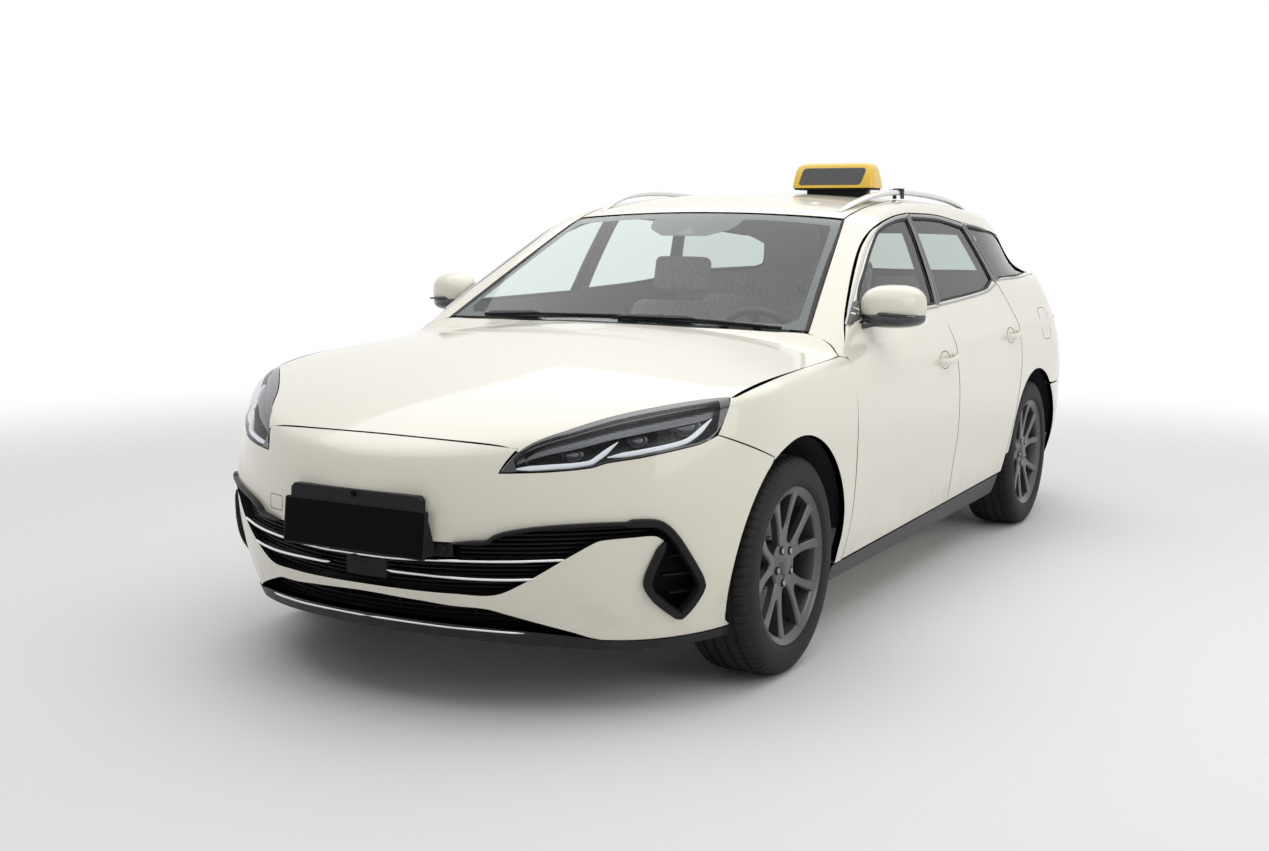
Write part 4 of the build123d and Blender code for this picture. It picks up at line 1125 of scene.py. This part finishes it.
# Door mirrors: a painted cap over a black shell, with a slit for the repeater, on a black arm from the door's
# shoulder. The glass faces rearward.
def loft(rows, shape=None, capped=True):
    """A skin through rings of equal count, closed at its ends if capped."""
    shape = shape or Shape()
    n = len(rows[0])
    faces = tube_faces(len(rows), n)
    if capped:
        faces += [tuple(range(n))[::-1], tuple(range((len(rows) - 1) * n, len(rows) * n))]
    shape.add(np.vstack(rows), faces)
    return shape


def oval(at, e1, e2, a, b, power=2.6, count=36):
    """A ring of half sizes a and b, squarer as power grows."""
    turn = circle(count)
    c, s = np.cos(turn), np.sin(turn)
    u = np.sign(c) * np.abs(c) ** (2 / power) * a
    v = np.sign(s) * np.abs(s) ** (2 / power) * b
    return np.array(at) + u[:, None] * np.array(e1) + v[:, None] * np.array(e2)


CAP = [
    (-741, 17, 12), (-735, 45, 34), (-723, 68, 50), (-703, 87, 62), (-675, 99, 70), (-648, 105, 73),
    (-629, 105, 72),
]
MIRROR_AXES = (1, 0.16, 0), (0, 0, 1)
MIRROR_Z = 1096


def mirror_x(y):
    """Middle of the mirror's cap at a length y."""
    return 913 + 0.12 * (y - CAP[0][0])


cap = loft([oval((mirror_x(y), y, MIRROR_Z), *MIRROR_AXES, a, b) for y, a, b in CAP])
mirror_owner = door_bodies("front_door")
both_sides("mirror_cap", cap, [paint], mirror_owner, ["mirror_left", "mirror_right"], 40)
glassy = Finish("mirror_glass", (0.55, 0.57, 0.6), 0.04, 1.0).mottle(20.0, 3.0, 0.03, 0.02)
face = loft([
    oval((927, -627 + d, MIRROR_Z), *MIRROR_AXES, 98 - k, 66 - k) for d, k in ((-6, 0), (0, 0), (1, 6))
])
both_sides("mirror_face", face, [glassy], mirror_owner, flat_over=30)
shell = loft([
    oval((mirror_x(y), y, 1056 + 0.02 * (y - CAP[0][0])), *MIRROR_AXES, a * 0.97, max(b * 0.52, 8))
    for y, a, b in CAP
])
arm = np.array([(836, -718, 1030), (854, -708, 1034), (874, -698, 1038), (900, -686, 1042)], float)
ARM = [(-40, -12), (-44, 0), (-36, 12), (30, 14), (40, 6), (38, -10)]
ribbon(arm, ARM, 10.0, shape=shell, normals=(0, 0, 1))
both_sides("mirror_shell", shell, [gloss_black], mirror_owner, flat_over=40)
turn = np.linspace(math.radians(205), math.radians(345), 12)
slit = np.column_stack([924 + 107 * np.cos(turn), -651 + 92 * np.sin(turn) * 0.98, 1072 - 6 * np.cos(turn)])
cut = ribbon(slit, [(-4, -4), (-4, 1.5), (4, 1.5), (4, -4)], 8.0, normals=(0, -0.9, 0.1), taper=20.0)
both_sides("mirror_slit", cut, [gloss_black], mirror_owner, flat_over=40)

# Wheels: cast alloy with five forked spokes, painted gunmetal, five nuts in their wells and a bare centre
# cap. The tyre is moulded rubber with four grooves and cut shoulder blocks. Behind the spokes are a steel
# brake disc and its caliper.
gunmetal = Finish("gunmetal", (0.085, 0.085, 0.088), 0.36, 0.55, Coat_Weight=0.25, Coat_Roughness=0.2)
gunmetal.mottle(120.0, 3.0, 0.12, 0.28)
tyre_rubber = Finish("tyre_rubber", (0.016, 0.016, 0.017), 0.72, Specular_IOR_Level=0.25)
scuff = tyre_rubber.noise(14.0, 5.0).rise(0.35, 0.8)
tyre_rubber.set(
    Base_Color=scuff.mix((0.010, 0.010, 0.011), (0.022, 0.021, 0.020)), Roughness=scuff * 0.15 + 0.62,
)
tyre_rubber.grain(600.0, 2.0, 0.15, 0.0006)
steel = Finish("turned_steel", (0.38, 0.37, 0.36), 0.32, 1.0).mottle(80.0, 3.0, 0.2, 0.25)


def hoop(x, radius, turn):
    """Points at a radius and angles about the x axis."""
    return np.column_stack([np.full(len(turn), x), radius * np.cos(turn), radius * np.sin(turn)])


def tyre_shape(count=288):
    """Tread and walls as rings of width and radius, with cuts across the blocks."""
    half = [
        (0, 338), (16, 338), (18, 331), (25, 331), (27, 338), (40, 337.6), (52, 337), (54, 330), (61, 330),
        (63, 336.4), (76, 335.4), (88, 333), (97, 327.5), (104, 319), (108, 309), (109, 307), (111, 298),
        (112.6, 288), (113, 278), (111.5, 268), (112.3, 265), (111, 260), (108, 251), (103, 245), (96, 241),
    ]
    rows = [(-x, r) for x, r in half[::-1][:-1]] + half
    turn = circle(count)
    block = (np.arange(count) % 4) == 0
    fine = (np.arange(count) % 4) == 2
    rings = []
    for x, r in rows:
        cut = np.zeros(count)
        if 63 <= abs(x) <= 106:
            cut[block] = 5.0
            cut[fine] = 1.2
        elif 27 <= abs(x) <= 52:
            cut[block] = 2.5
        rings.append(hoop(x, r - cut, turn))
    return loft(rings, capped=False)


def spoke_lay(angle):
    """Lays a flat spoke on the dished face of the wheel, at an angle."""
    c, s = math.cos(angle), math.sin(angle)

    def lay(uv, depth):
        r = np.hypot(uv[:, 0], uv[:, 1])
        out = 76 + 17 * np.clip((r - 58) / 150, 0, 1.1) ** 1.3
        return np.column_stack([out - depth, uv[:, 0] * c - uv[:, 1] * s, uv[:, 0] * s + uv[:, 1] * c])

    return lay


SPOKE = [
    (29, 50), (33, 90), (52, 146), (90, 210), (54, 224), (29, 164), (10, 120), (0, 112), (-10, 120),
    (-29, 164), (-54, 224), (-90, 210), (-52, 146), (-33, 90), (-29, 50),
]


def rim_shape():
    """Barrel, spokes, hub, nut wells and nuts, about the x axis with the outside toward +x."""
    shape = Shape()
    barrel = [
        (-98, 241), (-101, 234), (-92, 226), (-60, 214), (20, 209), (70, 214), (88, 218), (95, 225),
        (97, 233), (101, 237), (104, 241), (102, 244), (98, 242),
    ]
    loft([hoop(x, r, circle(72)) for x, r in barrel], shape, capped=False)
    for k in range(5):
        slab(SPOKE, spoke_lay(math.radians(72 * k + 8)), 24.0, 5.0, 11.0, shape, 0)
    hub = [(76, 40), (76, 70), (70, 77), (40, 79), (36, 82), (33, 83), (31, 86), (24, 88), (3, 88)]
    turned((0, 0, 0), (1, 0, 0), hub, 40, 1.0, shape, 0)
    for k in range(5):
        a = math.radians(72 * k + 44)
        y, z = 54 * math.cos(a), 54 * math.sin(a)
        # Nut wells in deep black: painted shade in the recesses round the nuts.
        turned((76, y, z), (1, 0, 0), [(13.5, 0), (13.5, 3.2), (12, 3.4)], 18, 1.0, shape, 1)
        turned((77, y, z), (1, 0, 0), [(9, 0), (9, 6), (7, 7), (3, 6)], 6, 1.0, shape, 2)
    return shape


def moved(shape, by):
    """The same mesh at another place."""
    other = Shape()
    other.points = [p + np.array(by, float) for p in shape.points]
    other.normals, other.faces, other.finish = shape.normals, shape.faces, shape.finish
    return other


HALF_TRACK = 805
DISC = [(60, -12), (152, -12), (154, -8), (154, 8), (152, 12), (84, 12), (80, 30), (60, 34)]
tyre_mesh, rim_mesh, disc_mesh = tyre_shape(), rim_shape(), turned((0, 0, 0), (1, 0, 0), DISC, 56)


def round_disc(uv, depth):
    """Lays a flat caliper round the edge of the brake disc."""
    return hoop(30.0 - depth, 132 + uv[:, 1], uv[:, 0] / 140)


caliper = slab(rounded(62, 34, 16), round_disc, 74.0, 5.0, 12.0)
for end, axle in (("front", FRONT_AXLE), ("rear", REAR_AXLE)):
    for side in ("left", "right"):
        wheel = f"wheel_{end}_{side}"
        sign = 1 if side == "left" else -1
        at = (sign * HALF_TRACK, axle, AXLE_HEIGHT)
        meshes = [m if sign > 0 else m.flipped() for m in (tyre_mesh, rim_mesh, disc_mesh, caliper)]
        tyre_node, rim_node = [f"tyre_{end}_{side}"], [f"rim_{end}_{side}"]
        alloy = [gunmetal, black_with_depth_shade, steel]
        place(f"tyre_tread_{end}_{side}", moved(meshes[0], at), [tyre_rubber], wheel, tyre_node, 32)
        place(f"alloy_{end}_{side}", moved(meshes[1], at), alloy, wheel, rim_node, 32)
        place(f"brake_disc_{end}_{side}", moved(meshes[2], at), [steel], wheel, flat_over=32)
        carrier = f"knuckle_{side}_body" if end == "front" else "body"
        place(f"caliper_{end}_{side}", moved(meshes[3], at), [satin_black], carrier, flat_over=32)

# Roof sign: a yellow moulded lamp body with a dark blank panel on each long face, standing on a black foot.
# Its lead is clipped to the left rail.
sign_yellow = Finish("sign_yellow", (0.86, 0.56, 0.035), 0.28, Coat_Weight=0.5, Coat_Roughness=0.1)
sign_yellow.set(
    Base_Color=sign_yellow.noise(7.0, 3.0).rise(0.3, 0.8).mix((0.84, 0.53, 0.03), (0.90, 0.62, 0.06)),
    Roughness=sign_yellow.noise(60.0, 2.0) * 0.1 + 0.22,
)
SIGN_X, SIGN_Y = 338, 290
SIGN = [
    # height, half length, half depth, squareness of the ring
    (1526, 178, 70, 9), (1534, 178, 70, 9), (1566, 174, 64, 8), (1596, 168, 58, 7), (1612, 163, 53, 6),
    (1621, 156, 46, 5), (1626, 143, 34, 4), (1628, 115, 16, 3),
]
sign_body = loft([oval((SIGN_X, SIGN_Y, z), (1, 0, 0), (0, 1, 0), a, b, p, 64) for z, a, b, p in SIGN])
place("sign_lamp", sign_body, [sign_yellow], "body", ["taxi_sign"], 40)
foot = slab(rounded(170, 62, 14), facing((SIGN_X, SIGN_Y, 1526), (1, 0, 0), (0, 1, 0)), 7.0, 1.5, 24.0)
slab(rounded(130, 34, 12), facing((SIGN_X, SIGN_Y + 14, 1520), (1, 0, 0), (0, 1, 0)), 34.0, 2.0, 24.0, foot)
place("sign_foot", foot, [satin_black], "body", ["sign_base"], 30)
for name, face in (("front", -1), ("rear", 1)):
    tilt = np.array((0, -face * 0.195, 0.98))
    along = (-face, 0, 0)
    lay = facing((SIGN_X, SIGN_Y + face * 63.6, 1572), along, tilt)
    skewed = [(x + 0.28 * z * (-face), z) for x, z in rounded(136, 35, 13)]
    blank = slab(skewed, lay, 3.0, 0.6, 14.0)
    place(f"sign_panel_{name}", blank, [pillar_grey], "body", flat_over=30)

# Rear lamps and light bar: red moulded lenses with fine flutes. One wraps each rear corner, fixed in the side
# panel, and a narrow one runs across the tailgate and opens with it.
red_lens = Finish("red_lens", (0.42, 0.012, 0.014), 0.12, Coat_Weight=0.8, Coat_Roughness=0.04)
red_lens.set(Base_Color=red_lens.waves("Z", 40.0).rise(0.2, 0.8).mix((0.30, 0.008, 0.01), (0.50, 0.02, 0.02)))
LAMP_SIDE = [(1850, 944), (1990, 972), (2120, 982)]
corner_lamp = np.vstack([
    from_side(LAMP_SIDE), from_end([(760, 982), (650, 978), (648, 900), (760, 896)], 1),
    from_side([(2120, 894), (1990, 904)]),
])
corner = panel(outward, corner_lamp, inset=0, depth=-2.5, hem=8.0)
both_sides("corner_lamp", corner, [red_lens], "body", ["tail_lamps"])
BAR = mirrored(from_end([(0, 968), (628, 968), (624, 908), (0, 908)], 1))
bar = panel(behind, BAR, inset=0, depth=-2.5, hem=8.0)
place("light_strip", bar, [red_lens], "tailgate_body", ["light_bar"])

# Bumper beams: pressed steel beams across the car behind the two bumper skins, painted like the inside of the
# body. They follow the skins at an even distance.
beams = Shape()
for lens, sign, half, top, foot in ((ahead, -1, 560, 690, 640), (behind, 1, 640, 620, 560)):
    edge = mirrored(from_end([(0, top), (half, top), (half, foot), (0, foot)], sign, 34.0))
    panel(lens, edge, inset=0, depth=34.0, hem=30.0, shape=beams)
place("beam_skins", beams, [under_paint_shaded], "body", ["bumper_beams"])

# Wipers: two black arms with rubber blades, at rest along the foot of the windscreen. Each arm runs from its
# spindle to the middle of its blade.
wipers = Shape()
for line in ([(-560, 1026), (-300, 1038), (40, 1044)], [(30, 1038), (330, 1038), (640, 1022)]):
    on = from_end(line, -1)
    ribbon(on, [(-5, 0), (-4, 5), (-2, 7), (2, 7), (4, 5), (5, 0)], 18.0, lift=1.0, shape=wipers)
    arm = on[[0, 1]] + np.array((0, -6, 4))
    ribbon(arm, [(-9, 0), (-8, 5), (8, 5), (9, 0)], 18.0, lift=5.0, taper=40.0, shape=wipers)
place("wipers", wipers, [satin_black], "body", flat_over=40)

# Sill skirts: strips of grained grey plastic clipped under the doors, from the front arch to the rear one.
# They lie a little inside the skin of the doors.
skirt_grey = Finish("skirt_grey", (0.055, 0.055, 0.057), 0.5, Specular_IOR_Level=0.35)
skirt_grey.grain(1300.0, 2.0, 0.2, 0.0004)
skirt_line = from_side([(-1050, 198), (898, 206), (898, 292), (-1050, 256)])
skirt = panel(across, skirt_line, inset=0, depth=8.0, hem=40.0)
both_sides("sill_skirt", skirt, [skirt_grey], "body", ["side_skirts"])

# Roof rails: satin alloy bars along the roof's long edges. Each rises from the roof at its front foot, runs
# free above it and comes down again at the rear.
rail_alloy = Finish("rail_alloy", (0.74, 0.745, 0.75), 0.3, 0.9).mottle(25.0, 3.0, 0.12, 0.24)
RAIL = [
    # x, y, height over the roof, half width, half thickness
    (522, -158, 1, 10, 2), (530, -120, 4, 13, 4), (543, -40, 14, 17, 8), (556, 90, 24, 19, 10),
    (566, 250, 29, 19, 11), (574, 480, 31, 19, 11), (578, 760, 29, 19, 11), (580, 1000, 24, 18, 10),
    (577, 1180, 14, 16, 8), (573, 1280, 4, 12, 4), (571, 1310, 1, 9, 2),
]
rail_x, rail_y, *rail_sizes = np.array(RAIL, float).T
line = smooth_ring(np.column_stack([rail_x, rail_y]), 30.0, closed=False)
stations = np.column_stack([np.interp(line[:, 1], rail_y, size) for size in rail_sizes])
rail = loft([
    oval(p + np.array((0, 0, up)), (1, 0, 0), (0, 0, 1), half, thick, 3.0, 20)
    for p, (up, half, thick) in zip(from_top(line), stations)
])
both_sides("roof_rail", rail, [rail_alloy], "body", ["roof_rails"], 50)

# Pieces carried over from the solids as they are: the floor, the cowl, hinges and running gear, the arch
# liners, the sign's lead, the heavy blocks and the dashboard with its wheel. Each only gets its finish here.
iron = Finish("cast_iron", (0.05, 0.05, 0.052), 0.55, 0.7).mottle(45.0, 4.0, 0.3, 0.4)
iron.grain(260.0, 3.0, 0.3, 0.001)
felt = Finish("arch_felt", (0.011, 0.011, 0.012), 0.9).grain(500.0, 3.0, 0.5, 0.0015)
alloy_block = Finish("cast_alloy", (0.32, 0.325, 0.33), 0.45, 0.8).grain(120.0, 3.0, 0.25, 0.001)
soft_dark = Finish("soft_dark", (0.035, 0.036, 0.038), 0.6).grain(1100.0, 2.0, 0.3, 0.0005)
CARRIED = {
    "floor_pan": under_paint_shaded, "cowl": satin_black, "hood_hinges": iron, "door_hinges": iron,
    "knuckle_left": iron, "knuckle_right": iron, "front_subframe": iron, "rear_axle": iron,
    "arch_liners": felt, "sign_lead": rubber, "power_unit": alloy_block, "battery_pack": alloy_block,
    "dashboard": soft_dark, "steering_wheel": soft_dark,
}
for node, finish in CARRIED.items():
    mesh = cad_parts[node].data
    mesh.materials.clear()
    mesh.materials.append(finish.material)

# Seats: foam pads in light grey woven cloth on steel frames, with a head restraint for each front seat, and a
# bench with three restraints behind. The pads are crowned forms, lofted directly.
seat_cloth = Finish("seat_cloth", (0.44, 0.44, 0.43), 0.85, Sheen_Weight=0.3)
weave = seat_cloth.at.make("ShaderNodeTexVoronoi", Vector=seat_cloth.at, Scale=420.0)
seat_cloth.set(
    Base_Color=seat_cloth.noise(60.0, 4.0).rise(0.3, 0.7).mix((0.36, 0.36, 0.355), (0.50, 0.50, 0.49)),
)
seat_cloth.bump(weave, 0.4, 0.0008)


PAD = [
    # part of the way up, part of the width, half thickness
    (0.0, 0.80, 14), (0.015, 0.88, 34), (0.05, 0.95, 50), (0.15, 1.0, 60), (0.5, 1.0, 62), (0.85, 1.0, 60),
    (0.95, 0.95, 52), (0.985, 0.88, 36), (1.0, 0.8, 16),
]


def cushion(base, top, wide, thick, full=1.0, power=4.0):
    """A crowned pad from base to top, with fuller ends the smaller full is."""
    base, top = np.array(base, float), np.array(top, float)
    e1 = np.array((1.0, 0, 0))
    e2 = np.cross((top - base) / np.linalg.norm(top - base), e1)
    return loft([
        oval(base + (top - base) * t, e1, e2, wide * w**full, d * thick, power, 40) for t, w, d in PAD
    ])


SEAT_X = 370
PADS = [
    # name, base point, top point, half width, part of the pad's thickness
    ("front_seat_cushion", (0, -455, 392), (0, 90, 412), 238, 1.15),
    ("front_seat_back", (0, 112, 452), (0, 262, 1040), 236, 0.9),
    ("head_restraint", (0, 262, 1082), (0, 292, 1232), 128, 0.72),
]
for name, base, top, wide, thick in PADS:
    for side, x in (("left", SEAT_X), ("right", -SEAT_X)):
        shape = moved(cushion(base, top, wide, thick), (x, 0, 0))
        node = ["front_seats"] if name == "front_seat_cushion" and side == "left" else []
        place(f"{name}_{side}", shape, [seat_cloth], "body", node, 50)
legs = Shape()
for x in (-SEAT_X, SEAT_X):
    for dx in (-60, 60):
        turned((x + dx, 256, 1000), (0, 16, 90), [(6, 0), (6, 96)], 14, 1.0, legs)
    slab(rounded(200, 225, 20), facing((x, -190, 318), (1, 0, 0), (0, 1, 0)), 80.0, 6.0, 60.0, legs)
place("seat_frames", legs, [soft_dark], "body", flat_over=40)
BENCH = [
    ("rear_bench_cushion", (0, 388, 400), (0, 800, 430), 618, 1.15),
    ("rear_bench_back", (0, 842, 480), (0, 1010, 1040), 618, 0.95),
]
for name, base, top, wide, thick in BENCH:
    shape = cushion(base, top, wide, thick, full=0.35, power=9.0)
    node = ["rear_seat"] if "cushion" in name else []
    place(name, shape, [seat_cloth], "body", node, 50)
for x in (-SEAT_X, 0, SEAT_X):
    shape = moved(cushion((0, 1012, 1024), (0, 1020, 1148), 118, 0.62), (x, 0, 0))
    piece = place(f"rear_restraint_{x + SEAT_X}", shape, [seat_cloth], "body", flat_over=50)

# Stage and light: a pale floor that fades into a white background, under one wide soft light overhead and a
# weaker one at the car's left. The camera stands at the car's front left.
floor_mesh = bpy.data.meshes.new("floor")
floor_mesh.from_pydata([(-40, -40, 0), (40, -40, 0), (40, 40, 0), (-40, 40, 0)], [], [(0, 1, 2, 3)])
floor = bpy.data.objects.new("floor", floor_mesh)
bpy.context.scene.collection.objects.link(floor)
floor_finish = Finish("floor_white", (0.84, 0.84, 0.84), 0.6, Specular_IOR_Level=0.1)
far_out = floor_finish.at.make("ShaderNodeVectorMath", {"operation": "LENGTH"}, out=1, Vector=floor_finish.at)
floor_finish.set(Alpha=1.0 - far_out.rise(3.2, 7.5))
floor.data.materials.append(floor_finish.material)
world = bpy.data.worlds.new("studio")
bpy.context.scene.world = world
world.use_nodes = True
sky = world.node_tree
sky.nodes["Background"].inputs["Color"].default_value = (1, 1, 1, 1)
ways = sky.nodes.new("ShaderNodeLightPath").outputs
seen, mirrored_ray, through_ray = (
    Wire(sky, ways[f"Is {way} Ray"]) for way in ("Camera", "Glossy", "Transmission")
)
white = seen.maths("MAXIMUM", seen, seen.maths("MAXIMUM", mirrored_ray, through_ray))
sky.links.new((white * 0.64 + 0.36).socket, sky.nodes["Background"].inputs["Strength"])


def lamp(name, at, toward, size, power):
    """A soft rectangular studio light aimed at a point."""
    data = bpy.data.lights.new(name, "AREA")
    data.shape = "RECTANGLE"
    data.size, data.size_y = size
    data.energy = power
    light = bpy.data.objects.new(name, data)
    bpy.context.scene.collection.objects.link(light)
    light.location = at
    light.rotation_euler = (Vector(toward) - Vector(at)).to_track_quat("-Z", "Y").to_euler()


lamp("overhead", (0.0, 0.3, 5.2), (0, 0.3, 0), (10.0, 11.0), 360)
lamp("left_side", (6.5, -1.5, 3.2), (0, 0, 0.6), (5.0, 3.0), 80)

CAMERA_AT = (2.6316, -5.5614, 1.3462)
camera_data = bpy.data.cameras.new("camera")
camera_data.lens = 42.155
camera_data.sensor_width = 36.0
camera = bpy.data.objects.new("camera", camera_data)
bpy.context.scene.collection.objects.link(camera)
yaw, pitch, roll = (math.radians(v) for v in (28.993, 7.486, 0.532))
forward = Vector((-math.sin(yaw) * math.cos(pitch), math.cos(yaw) * math.cos(pitch), -math.sin(pitch)))
right = forward.cross(Vector((0, 0, 1))).normalized()
upward = right.cross(forward)
right, upward = (
    math.cos(roll) * right + math.sin(roll) * upward, math.cos(roll) * upward - math.sin(roll) * right,
)
camera.matrix_world = Matrix((
    *((right[i], upward[i], -forward[i], CAMERA_AT[i]) for i in range(3)), (0, 0, 0, 1),
))
bpy.context.scene.camera = camera
bpy.context.scene.view_settings.view_transform = "Standard"
